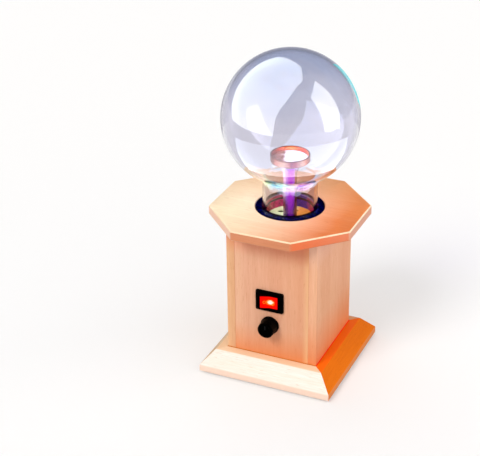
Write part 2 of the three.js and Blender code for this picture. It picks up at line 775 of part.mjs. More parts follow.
function makeHosePort() {
  const group = rearGroup(portHeight);
  const { flange, spigot, socket } = hosePort;
  const bore = hosePort.bore / 2;
  const barrel = hosePort.barrel / 2;
  const face = seatGap + flange.thickness;
  const tip = chamberOutside - socket.overlap - outerFace;
  const pitch = spigot.length / spigot.barbs;
  const barbs = [];
  for (let i = 0; i < spigot.barbs; i++) {
    barbs.push([spigot.barb / 2, face + i * pitch + (i === 0 ? 0 : spigot.barbStep)]);
    barbs.push([spigot.diameter / 2, face + (i + 1) * pitch]);
  }
  const profile = [
    [bore, tip],
    [barrel, tip],
    [barrel, seatGap],
    [flange.diameter / 2, seatGap],
    [flange.diameter / 2, face],
    ...barbs,
    [bore, face + spigot.length],
  ];
  place("hose_port", "brass", turned(profile, smallSides), group);
  const { flats, thickness } = hosePort.nut;
  const nutMade = nut(flats, thickness, hosePort.barrel + 2 * clearance, -cabinet.panel);
  place("hose_port_nut", "brass", nutMade, group);
}

// ---------------------------------------------------------------- electronics

function makeCircuitBoard() {
  const pinHole = rod(circuit.pin / 2 + clearance, 0, circuitTop + overcut);
  const board = slab(circuitWidth, circuitWidth, circuitBottom, circuitTop);
  place("circuit_board", "circuitGreen", board.subtract(atPosts(pinHole)));
}

function makeInductor() {
  const { x, y, diameter, height, waist, cheek } = inductor;
  const profile = [
    [0, 0],
    [diameter / 2, 0],
    [diameter / 2, cheek],
    [waist / 2, cheek],
    [waist / 2, height - cheek],
    [diameter / 2, height - cheek],
    [diameter / 2, height],
    [0, height],
  ];
  place("inductor", "ferrite", turned(profile, smallSides)).position.set(x, y, circuitTop);
}

function makeCapacitor() {
  const { x, y, diameter, height, crimp, groove } = capacitor;
  const radius = diameter / 2;
  const profile = [
    [0, 0],
    [radius, 0],
    [radius, crimp],
    [radius - groove, crimp + groove],
    [radius, crimp + 2 * groove],
    [radius, height - groove],
    [radius - groove, height],
    [0, height],
  ];
  place("capacitor", "sleeveBlue", turned(profile, smallSides)).position.set(x, y, circuitTop);
}

function makeTerminalBlock() {
  const { x, y, width, depth, height, ways, well, wellDepth } = terminalBlock;
  const screwWell = rod(well / 2, height - wellDepth, height + overcut);
  let made = slab(width, depth, 0, height);
  for (let way = 0; way < ways; way++) {
    made = made.subtract(screwWell.translate([wayOffset(way), depth / 4, 0]));
  }
  place("terminal_block", "terminalGreen", made).position.set(x, y, circuitTop);
}

// Where the wires of each way enter the block, across its width.
function wayOffset(way) {
  return ((way + 0.5) / terminalBlock.ways - 0.5) * terminalBlock.width;
}

function makeHeatSink() {
  const { x, y, width, base, fins, fin, reach, height } = heatSink;
  let made = block([-width / 2, width / 2], [0, base], [0, height]);
  for (let i = 0; i < fins; i++) {
    const left = -width / 2 + (i * (width - fin)) / (fins - 1);
    made = made.add(block([left, left + fin], [base / 2, base + reach], [0, height]));
  }
  place("heat_sink", "aluminium", made).position.set(x, y, circuitTop);
}

function makeTransistor() {
  const { width, tab, tabHeight, body, bodyHeight, leg } = transistor;
  const across = [-width / 2, width / 2];
  let made = block(across, [-tab, 0], [leg.length, leg.length + tabHeight]).add(
    block(across, [-tab - body, 0], [leg.length, leg.length + bodyHeight]),
  );
  const wireLeg = slab(leg.width, leg.depth, 0, leg.length + overcut);
  for (const side of [-1, 0, 1]) {
    made = made.add(wireLeg.translate([side * leg.pitch, -tab - leg.depth / 2, 0]));
  }
  const mesh = place("transistor", "blackPlastic", made);
  mesh.position.set(heatSink.x, heatSink.y - seatGap, circuitTop);
}

// ---------------------------------------------------------------- wiring

function makeWires() {
  const blockTop = circuitTop + terminalBlock.height + clearance;
  const wayX = (way) => terminalBlock.x + wayOffset(way);
  const wayY = terminalBlock.y - terminalBlock.depth / 4;

  for (const [side, sx] of [["left", -1], ["right", 1]]) {
    const x = sx * wire.spread;
    const lead = [
      [x, 0, holderTop - clearance],
      [x, 0, chamberFloor],
      [x, 0, chamberBottom - 6],
      [x + 6, 3, chamberBottom - 24],
      [x + 9, -2, chamberBottom - 54],
      [x + wayX(2), wayY, blockTop + 6],
      [x + wayX(2), wayY, blockTop],
    ];
    place("heater_lead_" + side, "wireWhite", cable(lead, wire.lead));
  }

  const ledWireY = (led.bore + chamber.wireHole) / 4; // midway between the two holes' edges
  const ledWire = [
    [0, ledWireY, chamberFloor - clearance],
    [0, ledWireY, chamberBottom - 6],
    [10, 8, chamberBottom - 24],
    [16, -4, chamberBottom - 56],
    [wayX(3), wayY, blockTop + 6],
    [wayX(3), wayY, blockTop],
  ];
  place("led_wire", "wireRed", cable(ledWire, wire.lead));

  const tailEnd = -outerFace + powerSwitch.body.depth + terminal.tail + clearance;
  const switchLoom = [
    [powerSwitch.x, tailEnd, switchHeight],
    [powerSwitch.x, tailEnd + 3, switchHeight],
    [powerSwitch.x - 1, tailEnd + 6, switchHeight - 4],
    [powerSwitch.x, tailEnd + 2, switchHeight - 26],
    [wayX(1), wayY, blockTop + 6],
    [wayX(1), wayY, blockTop],
  ];
  place("switch_wires", "wireWhite", cable(switchLoom, wire.loom));

  const trackBack = -outerFace + cabinet.panel + 2 * seatGap + dimmer.body.depth;
  const tagTip = dimmerHeight - dimmer.body.diameter / 2 - dimmer.tag.length;
  const dimmerLoom = [
    [dimmer.x, trackBack, tagTip - clearance],
    [dimmer.x, trackBack, tagTip - 2],
    [wayX(0), wayY, blockTop + 2.5],
    [wayX(0), wayY, blockTop],
  ];
  place("dimmer_wires", "wireRed", cable(dimmerLoom, wire.loom / 2));

  const jackTail = outerFace - jack.barrel.length - jack.tail.length - clearance;
  const jackLoom = [
    [0, jackTail, jackHeight],
    [0, jackTail - 2, jackHeight],
    [-2, jackTail - 6, jackHeight - 6],
    [-2, jackTail - 6, circuitTop + 4],
    [-2, jackTail - 6, circuitTop + clearance],
  ];
  place("jack_wires", "wireRed", cable(jackLoom, wire.loom));
}

// ---------------------------------------------------------------- the whole lamp

makeFeet();
makePlinth();
makeBottomCover();
makeCoverScrews();
makePanels();
makeCornerBlocks();
makeTopBoard();
makeCollar();
makeSeal();
makeRecessFloor();
makeAirChamber();
makeGlobe();
makeStemSocket();
makeLights();
makeStem();
makeDish();
makeSwitch();
makeDimmer();
makeJack();
makeHosePort();
makeCircuitBoard();
makeInductor();
makeCapacitor();
makeTerminalBlock();
makeHeatSink();
makeTransistor();
makeWires();

export default lamp;
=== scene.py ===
"""The looks of an aroma lamp: a glass globe on a wooden cabinet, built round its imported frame.

Blender works in metres here, +Z up, with the lamp's front at -Y. Sizes below are in millimetres.
"""

import math

import bmesh
import bpy
from mathutils import Matrix, Vector, noise


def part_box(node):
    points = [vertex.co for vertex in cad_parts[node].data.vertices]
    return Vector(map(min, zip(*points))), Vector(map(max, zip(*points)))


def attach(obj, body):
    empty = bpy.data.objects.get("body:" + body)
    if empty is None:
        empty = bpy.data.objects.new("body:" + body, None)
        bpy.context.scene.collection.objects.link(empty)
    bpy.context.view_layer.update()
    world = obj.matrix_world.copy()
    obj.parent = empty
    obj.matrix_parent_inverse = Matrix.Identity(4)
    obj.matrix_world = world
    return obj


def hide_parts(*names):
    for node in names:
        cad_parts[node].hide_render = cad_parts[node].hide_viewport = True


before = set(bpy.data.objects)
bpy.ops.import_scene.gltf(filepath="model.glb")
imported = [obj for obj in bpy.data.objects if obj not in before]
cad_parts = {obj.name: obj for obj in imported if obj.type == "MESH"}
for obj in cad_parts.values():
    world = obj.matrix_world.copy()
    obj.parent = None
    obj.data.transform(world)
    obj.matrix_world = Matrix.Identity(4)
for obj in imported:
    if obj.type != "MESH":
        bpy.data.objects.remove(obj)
shiny = bpy.data.collections.new("shiny")  # the pieces that the studio's reflectors show in
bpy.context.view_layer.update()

MM = 0.001
CAMERA_YAW = 24.66
CAMERA_PITCH = 27.23
CAMERA_ROLL = -0.86
CAMERA_PLACE = Vector((318.03, -779.71, 540.47))
CAMERA_LENS = 97.66
GLOBE_RADIUS = 48.9
GLOBE_WALL = 2.0
ROCKER_TILT = 10  # degrees, with its right side pressed
ROUND = 128  # steps round a large turned piece
SMALL = 64  # steps round a small turned piece
FLOOR_GLOW = 0.27
ROOM_GLOW = 0.52
ROOM_TONE = "#E8E6F4"
WORLD_LIGHT = 0.45
SHINY = ("clear_glass", "copper", "ceramic", "steel")  # the slots that show the reflectors
ACROSS = Vector((0.91, 0.42, 0.0))  # level, from the lamp's front left edge to its rear right one
OUTWARD = Vector((0.42, -0.91, 0.0))  # level, out of the front of the lamp a little to the right
GRAIN_ALONG = 0.05  # how far the wood's pattern is drawn out along the grain
CORNERS = ("front_left", "front_right", "rear_left", "rear_right")


# -------- reading the frame

def low(node):
    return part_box(node)[0] / MM


def high(node):
    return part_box(node)[1] / MM


def middle(node):
    return (low(node) + high(node)) / 2


def heights(node):
    return low(node).z, high(node).z


def half_width(node):
    return (high(node).x - low(node).x) / 2


def globe_centre():
    return high("glass_globe").z - GLOBE_RADIUS


# -------- materials

def linear(code):
    """A hex colour as Blender's linear RGBA."""
    parts = [int(code[i:i + 2], 16) / 255 for i in (1, 3, 5)]
    curve = [c / 12.92 if c <= 0.04045 else ((c + 0.055) / 1.055) ** 2.4 for c in parts]
    return (*curve, 1.0)


class Paint:
    """A Principled material with short calls for the nodes that vary it over the surface."""

    def __init__(self, name, colour, roughness=0.5, metal=0.0, **sockets):
        self.material = bpy.data.materials.new(name)
        self.material.use_nodes = True
        self.tree = self.material.node_tree
        self.shader = self.tree.nodes["Principled BSDF"]
        self.out = self.tree.nodes["Material Output"]
        self.set("Base Color", linear(colour))
        self.set("Roughness", roughness)
        self.set("Metallic", metal)
        for socket, value in sockets.items():
            self.set(socket.replace("_", " "), value)
        self.place = self.node("ShaderNodeTexCoord").outputs["Object"]

    def node(self, kind, **settings):
        made = self.tree.nodes.new(kind)
        for name, value in settings.items():
            setattr(made, name, value)
        return made

    def feed(self, value, socket):
        """Links an output to a socket, or sets the socket to a plain value."""
        if isinstance(value, bpy.types.NodeSocket):
            self.tree.links.new(value, socket)
        else:
            socket.default_value = value

    def set(self, socket, value):
        self.feed(value, self.shader.inputs[socket])

    def spot(self, stretch=(1, 1, 1), shift=(0, 0, 0)):
        """The place on the piece in millimetres, stretched along each axis."""
        mapping = self.node("ShaderNodeMapping")
        self.feed(self.place, mapping.inputs["Vector"])
        mapping.inputs["Scale"].default_value = [s / MM for s in stretch]
        mapping.inputs["Location"].default_value = shift
        return mapping.outputs["Vector"]

    def axis(self, name):
        """One coordinate of the place on the piece, in millimetres."""
        split = self.node("ShaderNodeSeparateXYZ")
        self.feed(self.spot(), split.inputs[0])
        return split.outputs[name]

    def along(self, direction):
        """How far the place lies along a direction, in millimetres."""
        made = self.node("ShaderNodeVectorMath", operation="DOT_PRODUCT")
        self.feed(self.spot(), made.inputs[0])
        made.inputs[1].default_value = direction
        return made.outputs["Value"]

    def away(self, centre, stretch):
        """The distance from a point in millimetres, stretched along each axis."""
        made = self.node("ShaderNodeVectorMath", operation="DISTANCE")
        self.feed(self.spot(stretch), made.inputs[0])
        made.inputs[1].default_value = [c * s for c, s in zip(centre, stretch)]
        return made.outputs["Value"]

    def noise(self, vector, scale, detail=2.0, rough=0.5, distortion=0.0):
        made = self.node("ShaderNodeTexNoise")
        names = ("Vector", "Scale", "Detail", "Roughness", "Distortion")
        for socket, value in zip(names, (vector, scale, detail, rough, distortion)):
            self.feed(value, made.inputs[socket])
        return made.outputs["Fac"]

    def span(self, value, a, b, c=0.0, d=1.0):
        """value from a..b turned into c..d, and held there."""
        made = self.node("ShaderNodeMapRange")
        for socket, given in zip(made.inputs, (value, a, b, c, d)):
            self.feed(given, socket)
        return made.outputs["Result"]

    def math(self, kind, a, b=0.0):
        made = self.node("ShaderNodeMath", operation=kind)
        self.feed(a, made.inputs[0])
        self.feed(b, made.inputs[1])
        return made.outputs[0]

    def times(self, a, b):
        return self.math("MULTIPLY", a, b)

    def wander(self, place, pattern, reach):
        """The place, pushed to and fro by the pattern."""
        return self.math("ADD", place, self.span(pattern, 0.3, 0.7, -reach, reach))

    def roughen(self, pattern, first, last):
        self.set("Roughness", self.span(pattern, 0.3, 0.7, first, last))

    def between(self, value, start, end, blur):
        """1 from start to end and 0 past them, blurred at both ends."""
        return self.times(self.span(value, start - blur, start + blur),
                          self.span(value, end + blur, end - blur))

    def mix(self, share, a, b, blend="MIX"):
        """Colour a turned into colour b by the share."""
        made = self.node("ShaderNodeMix", data_type="RGBA", blend_type=blend)
        self.feed(share, made.inputs["Factor"])
        colours = [socket for socket in made.inputs if socket.type == "RGBA"]
        self.feed(a, colours[0])
        self.feed(b, colours[1])
        return next(socket for socket in made.outputs if socket.type == "RGBA")

    def glow(self, tone, strength):
        """Gives the surface this colour, and a glow of the same colour."""
        self.set("Base Color", tone)
        self.set("Emission Color", tone)
        self.set("Emission Strength", strength)

    def ramp(self, value, *stops):
        """Colours at stops from 0 to 1, each stop (place, colour)."""
        made = self.node("ShaderNodeValToRGB")
        self.feed(value, made.inputs["Fac"])
        band = made.color_ramp
        while len(band.elements) < len(stops):
            band.elements.new(0.5)
        for element, (at, colour) in zip(band.elements, stops):
            element.position = at
            element.color = linear(colour)
        return made.outputs["Color"]

    def bump(self, height, depth, strength=1.0):
        made = self.node("ShaderNodeBump")
        made.inputs["Strength"].default_value = strength
        made.inputs["Distance"].default_value = depth * MM
        self.feed(height, made.inputs["Height"])
        self.set("Normal", made.outputs["Normal"])


def wood(name, pale, deep, along, shift=0.0, painted_light_sweep=None, painted_light_and_shade=()):
    """Beech: broad tone, growth bands, fibres, short flecks, drawn out along the grain.
    The painted light sweep lays a second tone across the board, painted light and shade, as (axis, start,
    end, first colour, last colour).
    Each painted light and shade band lightens or deepens the tone along an axis where light falls or
    shade lies, as (axis, where none, where full, colour, most)."""
    paint = Paint(name, pale, 0.42, Specular_IOR_Level=0.12)
    stretch = [GRAIN_ALONG if axis == along else 1 for axis in "XYZ"]
    grain = paint.spot(stretch, (shift, shift * 0.7, shift * 0.3))
    broad = paint.noise(grain, 0.055, 3, 0.55, 0.4)
    bands = paint.noise(grain, 0.22, 3, 0.6, 1.2)
    fibres = paint.noise(grain, 1.9, 4, 0.65)
    tone = paint.ramp(broad, (0.3, pale), (0.72, deep))
    # painted light and shade: a second tone swept across the board
    if painted_light_sweep:
        axis, start, end, first, last = painted_light_sweep
        drift = paint.noise(paint.spot(stretch, (9, 4, 2)), 0.05, 2)
        place = paint.math("ADD", paint.axis(axis), paint.span(drift, 0, 1, -14, 14))
        change = paint.ramp(paint.span(place, start, end), (0.0, first), (1.0, last))
        tone = paint.mix(0.85, tone, change)
    fleck_stretch = [0.16 if axis == along else 1.25 for axis in "XYZ"]
    flecks = paint.noise(paint.spot(fleck_stretch, (3, 8, shift)), 1.0, 1)
    layers = [
        (0.5, bands, (0.36, "#FFFFFF"), (0.5, "#F7EEE6"), (0.66, "#FFFFFF")),
        (0.45, fibres, (0.3, "#F0E4D8"), (0.6, "#FFFFFF")),
        (0.3, flecks, (0.66, "#FFFFFF"), (0.74, "#D6A27A")),
    ]
    for share, pattern, *stops in layers:
        tone = paint.mix(share, tone, paint.ramp(pattern, *stops), "MULTIPLY")
    # painted light and shade: bands of lighter or deeper tone along an axis
    for axis, none, full, colour, most in painted_light_and_shade:
        tone = paint.mix(paint.span(paint.axis(axis), none, full, 0, most), tone, linear(colour))
    paint.set("Base Color", tone)
    paint.roughen(fibres, 0.5, 0.36)
    paint.bump(fibres, 0.03, 0.5)
    return paint.material


def black_gloss():
    paint = Paint("black_gloss", "#05050A", 0.1, Specular_IOR_Level=0.04)
    # painted sheen: navy patches over the black stand in for its highlights; the same pattern varies the
    # roughness
    sheen_patches = paint.noise(paint.spot(), 0.35, 3)
    paint.set("Base Color", paint.ramp(sheen_patches, (0.35, "#000002"), (0.72, "#000240")))
    paint.roughen(sheen_patches, 0.07, 0.17)
    paint.bump(paint.noise(paint.spot(), 0.8, 1), 0.02, 0.25)
    return paint.material


def black_plastic(name, scale=3.0, smooth=0.3, rough=0.5, relief=(0.03, 0.4)):
    paint = Paint(name, "#040405", rough, Specular_IOR_Level=0.03)
    grainy = paint.noise(paint.spot(), scale, 3)
    paint.set("Base Color", paint.ramp(grainy, (0.3, "#000000"), (0.8, "#050505")))
    paint.roughen(grainy, smooth, rough)
    paint.bump(grainy, *relief)
    return paint.material


def plain(name, light, dark, roughness=0.5, scale=0.6, depth=0.02, metal=0.0, **sockets):
    """A surface whose colour drifts between two tones, with a fine bump."""
    paint = Paint(name, light, roughness, metal, **sockets)
    patches = paint.noise(paint.spot(), scale, 4, 0.6)
    paint.set("Base Color", paint.ramp(patches, (0.3, dark), (0.7, light)))
    paint.roughen(patches, roughness * 1.25, roughness * 0.8)
    paint.bump(paint.noise(paint.spot(), scale * 6, 2), depth, 0.4)
    return paint.material


def copper(name, hues, reach, glow):
    """Spun copper, with painted reflections and shade drifting across the dish and a faint painted glow,
    fine turning marks, and dark lines at both rims.
    """
    paint = Paint(name, "#E8A890", 0.2, 1.0)
    marks = paint.noise(paint.spot((0.25, 0.25, 5)), 1.0, 3)
    # painted reflections and shade, laid across the dish and drifting
    reflection_drift = paint.noise(paint.spot((1, 1, 0.3), (2, 0, 0)), 0.3, 3)
    place = paint.wander(paint.along(ACROSS), reflection_drift, 1.5)
    tone = paint.ramp(paint.span(place, -reach, reach), *hues)
    tone = paint.mix(0.3, tone, paint.ramp(marks, (0.3, "#D8A08C"), (0.7, "#FFFFFF")), "MULTIPLY")
    # darker lines at both rims
    foot, brim = heights("dish_ring")
    height = paint.axis("Z")
    bare = paint.between(height, foot + 0.35, brim - 0.55, 0.15)
    tone = paint.mix(paint.span(bare, 1, 0, 0, 0.85), tone, linear("#6A1C10"))
    # painted light: the copper glows
    paint.glow(tone, glow)
    paint.roughen(marks, 0.14, 0.28)
    paint.bump(marks, 0.02, 0.35)
    return paint.material


def violet():
    """Violet acrylic, lit from below by the diode: deep at its foot, with painted shade down its sides
    low down and a painted pale sheen up its sides higher up, palest on the left.
    """
    paint = Paint("violet_acrylic", "#5A0070", 0.25, Emission_Strength=1.0, Specular_IOR_Level=0.1)
    floor = high("recess_floor").z
    rise = paint.span(paint.axis("Z"), floor - 1, floor + 33)
    core = paint.ramp(rise, (0.0, "#B400D4"), (0.35, "#BE0CDC"), (0.7, "#C83CE4"), (1.0, "#D24AE6"))
    # painted sheen and shade at the sides: dark low down, pale higher up
    left = paint.ramp(rise, (0.0, "#1C0034"), (0.3, "#420064"), (0.6, "#D4A0F0"), (1.0, "#EACCFA"))
    right = paint.ramp(rise, (0.0, "#0C0028"), (0.35, "#300058"), (0.6, "#C060E8"), (1.0, "#D890F0"))
    streaks = paint.noise(paint.spot((1, 1, 0.12)), 0.9, 2)
    place = paint.wander(paint.along(ACROSS), streaks, 0.6)
    glow = paint.mix(paint.span(place, -1.2, -2.4), core, left)
    glow = paint.mix(paint.span(place, 1.4, 2.4), glow, right)
    paint.set("Emission Color", glow)
    return paint.material


def clear_glass(name, tint, density, shade="#B9B4D2"):
    """Glass that lamps shine through, a little darker where it is thick."""
    paint = Paint(name, tint, 0.0, IOR=1.47, Transmission_Weight=1.0)
    paint.set("Roughness", paint.span(paint.noise(paint.spot(), 0.2, 3), 0.4, 0.8, 0.0, 0.012))
    clear = paint.node("ShaderNodeBsdfTransparent")
    clear.inputs["Color"].default_value = linear("#F4F2FA")
    path = paint.node("ShaderNodeLightPath")
    both = paint.node("ShaderNodeMixShader")
    paint.feed(path.outputs["Is Shadow Ray"], both.inputs[0])
    paint.feed(paint.shader.outputs[0], both.inputs[1])
    paint.feed(clear.outputs[0], both.inputs[2])
    paint.feed(both.outputs[0], paint.out.inputs["Surface"])
    if density:
        absorb = paint.node("ShaderNodeVolumeAbsorption")
        absorb.inputs["Color"].default_value = linear(shade)
        absorb.inputs["Density"].default_value = density
        paint.feed(absorb.outputs[0], paint.out.inputs["Volume"])
    return paint


def globe_glass():
    """The globe's glass, tinted darker and bluer towards its crown as painted shade, with painted glints
    in many colours glowing round the thick weld at its neck, on its front half.
    Its foot, sunk in the collar, is painted dark, and at the rear glows with the painted hues of the
    recess."""
    paint = clear_glass("clear_glass", "#E2E0EC", 5.0)
    height = paint.axis("Z")
    centre, rim = globe_centre(), high("globe_collar").z
    sunk = paint.span(height, rim + 0.6, rim)
    # painted shade: the glass tinted darker and bluer towards the crown, its edge wandering
    crown_wobble = paint.noise(paint.spot((1, 1, 1), (5, 2, 8)), 0.03, 3, 0.6)
    crown = paint.span(paint.wander(height, crown_wobble, 8), centre + 10.6, centre + 46.6)
    tint = paint.mix(crown, linear("#E6E5EE"), linear("#C0CAE0"))
    # painted shade: the foot sunk in the collar near black
    paint.set("Base Color", paint.mix(sunk, tint, linear("#060208")))
    # painted glints: a band round the weld, on the front half
    front = paint.along(OUTWARD)
    share = paint.times(paint.span(front, -4, 6), paint.span(height, centre - 35.4, centre - 39.9))
    share = paint.times(share, paint.span(height, centre - 49.4, centre - 46.9))
    glints = paint.noise(paint.spot((1, 1, 2.2), (4, 1, 0)), 0.42, 2, 0.6, 3.0)
    share = paint.times(share, paint.span(glints, 0.5, 0.53, 0, 0.78))
    hues = paint.ramp(
        paint.span(paint.along(ACROSS), -27, 27),
        (0.0, "#C890A0"), (0.12, "#D8C090"), (0.2, "#A8E8A0"), (0.26, "#20B8D0"),
        (0.38, "#48CCF0"), (0.47, "#F0FFFF"), (0.53, "#FFFFFF"), (0.6, "#9A68F4"),
        (0.74, "#E8C8FF"), (0.82, "#70B8E8"), (0.9, "#90D8D0"), (1.0, "#E8F0FF"))
    # painted light: the glints glow in these hues, the sunk foot in the recess's painted hues
    paint.set("Emission Color", paint.mix(sunk, hues, recess_hues(paint)))
    # painted glow of the recess on the sunk foot at the rear
    rear = paint.times(sunk, paint.span(front, 2, -4, 0, 1.3))
    paint.set("Emission Strength", paint.math("MAXIMUM", share, rear))
    return paint.material


def red_lens(name="red_lens", ink=False):
    """The rocker's red window, white-hot over the neon lamp and dark past the window's edges."""
    paint = Paint(name, "#8A0000", 0.3, Specular_IOR_Level=0.03)
    rocker, switch = middle("switch_rocker"), middle("switch_housing")
    lamp = (rocker.x + 0.9, low("switch_rocker").y, rocker.z)
    cloudy = paint.noise(paint.spot((1, 1, 1.6)), 0.5, 2)
    glow = paint.span(paint.wander(paint.away(lamp, (1, 0.2, 1.25)), cloudy, 0.7), 0, 8)
    dim = "#FF7A18" if ink else "#F60400"
    halo = dim if ink else "#FF1400"
    wide = paint.between(paint.axis("X"), switch.x - 6.05, switch.x + 6.55, 0.15)
    tall = paint.between(paint.axis("Z"), switch.z - 4.7, switch.z + 4.7, 0.2)
    window = paint.times(wide, tall)
    paint.set("Emission Strength", window)
    paint.set("Base Color", paint.mix(window, linear("#120000"), linear("#8A0000")))
    paint.set("Emission Color", paint.ramp(
        glow, (0.0, "#FFFFFF"), (0.2, "#FFF6D8"), (0.3, "#FF8A10"), (0.42, halo), (1.0, dim)))
    return paint.material


# -------- building meshes

def in_scene(name, data):
    """A new object in the scene for a mesh, a lamp or a camera."""
    made = bpy.data.objects.new(name, data)
    bpy.context.scene.collection.objects.link(made)
    return made


def modify(piece, kind, **settings):
    made = piece.modifiers.new(kind.lower(), kind)
    for name, value in settings.items():
        setattr(made, name, value)


def add_piece(name, mesh, material, node, slot, body="cabinet"):
    """An object for the mesh, riding on its body in place of its CAD node."""
    made = in_scene(name, mesh)
    for one in material if isinstance(material, list) else [material]:
        mesh.materials.append(one)
    if slot in SHINY:
        shiny.objects.link(made)
        modify(made, "WEIGHTED_NORMAL", keep_sharp=True)
    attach(made, body)
    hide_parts(node)
    return made


def pipe(inside, outside, bottom, top):
    """The outline of a plain pipe, for turning."""
    return [(inside, bottom), (outside, bottom), (outside, top), (inside, top)]


def skin(rings, name, closed=False, sharp=35, matrix=None):
    """A mesh through rings of points in millimetres. A ring of one point is a pole.
    closed joins the last ring to the first, as on a washer; otherwise the ends are capped."""
    shape = bmesh.new()
    rows = [[shape.verts.new([c * MM for c in point]) for point in ring] for ring in rings]
    pairs = list(zip(rows, rows[1:]))
    if closed:
        pairs.append((rows[-1], rows[0]))
    for a, b in pairs:
        count = max(len(a), len(b))
        for i in range(count):
            j = (i + 1) % count
            corners = [a[i % len(a)], a[j % len(a)], b[j % len(b)], b[i % len(b)]]
            corners = list(dict.fromkeys(corners))
            if len(corners) > 2:
                shape.faces.new(corners)
    if not closed:
        for row in (rows[0], rows[-1]):
            if len(row) > 2:
                shape.faces.new(row)
    return to_mesh(shape, name, sharp, matrix)


def to_mesh(shape, name, sharp=35, matrix=None):
    bmesh.ops.recalc_face_normals(shape, faces=shape.faces)
    if matrix is not None:
        bmesh.ops.transform(shape, matrix=matrix, verts=shape.verts)
    mesh = bpy.data.meshes.new(name)
    shape.to_mesh(mesh)
    shape.free()
    mesh.shade_smooth()
    mesh.set_sharp_from_angle(angle=math.radians(sharp))
    return mesh


def soften(points, radius, steps=3, closed=False):
    """The outline with each corner rounded by up to the radius."""
    made = []
    count = len(points)
    for i, corner in enumerate(points):
        if not closed and i in (0, count - 1):
            made.append(corner)
            continue
        here = Vector(corner)
        before = Vector(points[i - 1])
        after = Vector(points[(i + 1) % count])
        cut = min(radius, (before - here).length * 0.45, (after - here).length * 0.45)
        start = here + (before - here).normalized() * cut
        end = here + (after - here).normalized() * cut
        for step in range(steps + 1):
            t = step / steps
            made.append(tuple(start.lerp(here, t).lerp(here.lerp(end, t), t)))
    return made


def circle(radius, z, count=ROUND):
    if radius < 1e-6:
        return [(0.0, 0.0, z)]
    turn = 2 * math.pi / count
    return [(radius * math.cos(i * turn), radius * math.sin(i * turn), z) for i in range(count)]


def turned(name, profile, count=ROUND, closed=False, edge=0.2, matrix=None, sharp=35):
    """A mesh turned about Z from [radius, height] points, with its corners softened."""
    outline = soften(profile, edge, 3, closed) if edge else profile
    return skin([circle(r, z, count) for r, z in outline], name, closed, sharp, matrix)


def rounded_rectangle(width, height, corner, z, steps=6):
    points = []
    for quarter in range(4):
        sx = 1 if quarter in (0, 3) else -1
        sy = 1 if quarter < 2 else -1
        for step in range(steps + 1):
            angle = math.pi / 2 * (quarter + step / steps)
            x = sx * (width / 2 - corner) + corner * math.cos(angle)
            y = sy * (height / 2 - corner) + corner * math.sin(angle)
            points.append((x, y, z))
    return points


def at(x=0.0, y=0.0, z=0.0):
    return Matrix.Translation(Vector((x, y, z)) * MM)


def facing_front(x, z):
    """Places a piece made with z outwards on the front face, its y up the panel."""
    return at(x, low("front_panel").y, z) @ Matrix.Rotation(math.pi / 2, 4, "X")


def dress(node, material, bevel=0.0):
    """Keeps a CAD node and gives it its finish, with its sharp edges eased."""
    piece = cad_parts[node]
    piece.data.materials.clear()
    piece.data.materials.append(material)
    if bevel:
        modify(piece, "WELD", merge_threshold=1e-6)
        modify(piece, "DECIMATE", decimate_type="DISSOLVE", angle_limit=math.radians(1))
        modify(piece, "BEVEL", width=bevel * MM, segments=3, limit_method="ANGLE",
               angle_limit=math.radians(40), harden_normals=True)


# -------- wooden pieces

def octagon(flats, z, corner=0.8, per_side=12, arc=3):
    """A regular octagon with a flat to the front, with points along its sides and round its corners."""
    points = []
    slack = corner * math.tan(math.pi / 8)
    side = flats * math.tan(math.pi / 8) / 2 - slack
    for k in range(8):
        turn = Matrix.Rotation(math.pi / 4 * k, 4, "Z")
        for i in range(per_side + 1):
            points.append(turn @ Vector((flats / 2, side * (2 * i / per_side - 1), z)))
        hub = Vector((flats / 2 - corner, side, z))
        for i in range(1, arc):
            angle = math.pi / 4 * i / arc
            points.append(turn @ (hub + corner * Vector((math.cos(angle), math.sin(angle), 0))))
    return [tuple(p) for p in points]


def like_circle(ring, radius, z):
    """A circle with a point in the direction of each point of the ring."""
    made = []
    for x, y, _ in ring:
        reach = math.hypot(x, y)
        made.append((x / reach * radius, y / reach * radius, z))
    return made


def make_top_board():
    bottom, top = heights("top_board")
    flats = 2 * half_width("top_board")
    rebate = half_width("globe_collar") + 0.3
    bore = half_width("recess_floor") + 0.9
    ledge = bottom + 2
    arris = 0.85
    outside = [(0.45, bottom), (0, bottom + 0.45), (0, top - arris), (0.25, top - 0.25), (arris, top)]
    rings = [octagon(flats - 2 * inset, z) for inset, z in outside]
    inside = [(rebate + 0.35, top), (rebate, top - 0.35), (rebate, ledge), (bore, ledge), (bore, bottom)]
    rings += [like_circle(rings[0], radius, z) for radius, z in inside]
    # painted light: the top is pale cream on the left where the light falls, deeper orange to the right
    # and towards the rear
    face = wood("maple_top", "#FFDCAC", "#F4AE76", "X", 3, ("X", -36, 40, "#FFF0CC", "#D2661A"), [
        ("Y", -6, 46, "#F0A460", 0.5)])
    corner = flats / 2 * math.tan(math.pi / 8)
    # the edges are deeper-toned end grain, with painted light and shade along them: paler on the
    # left-facing faces, deeper orange on the right-facing ones
    edge = wood("maple_top_edge", "#E39A74", "#D88C66", "X", 8, None, [
        ("X", 0.45 - corner, -1.55 - corner, "#FFD6BC", 0.8),
        ("X", corner - 1.45, corner + 1.55, "#EE7648", 0.85),
        ("X", 30, 52, "#E9906C", 0.6), ("X", 53, 54, "#E6AC94", 0.9)])
    # painted highlight: the pale arris chamfer that catches the light along the top's edges
    arris_highlight = wood("maple_top_arris_highlight", "#FFF2D4", "#FFE2BC", "X", 5)
    board = add_piece("top_board", skin(rings, "top_board", closed=True, sharp=25), [face, edge, arris_highlight],
                      "top_board", "maple")
    for polygon in board.data.polygons:
        if abs(polygon.normal.z) < 0.3:
            polygon.material_index = 1
        elif 0.3 < polygon.normal.z < 0.95 and polygon.center.xy.length > 2 * rebate * MM * 0.95:
            polygon.material_index = 2


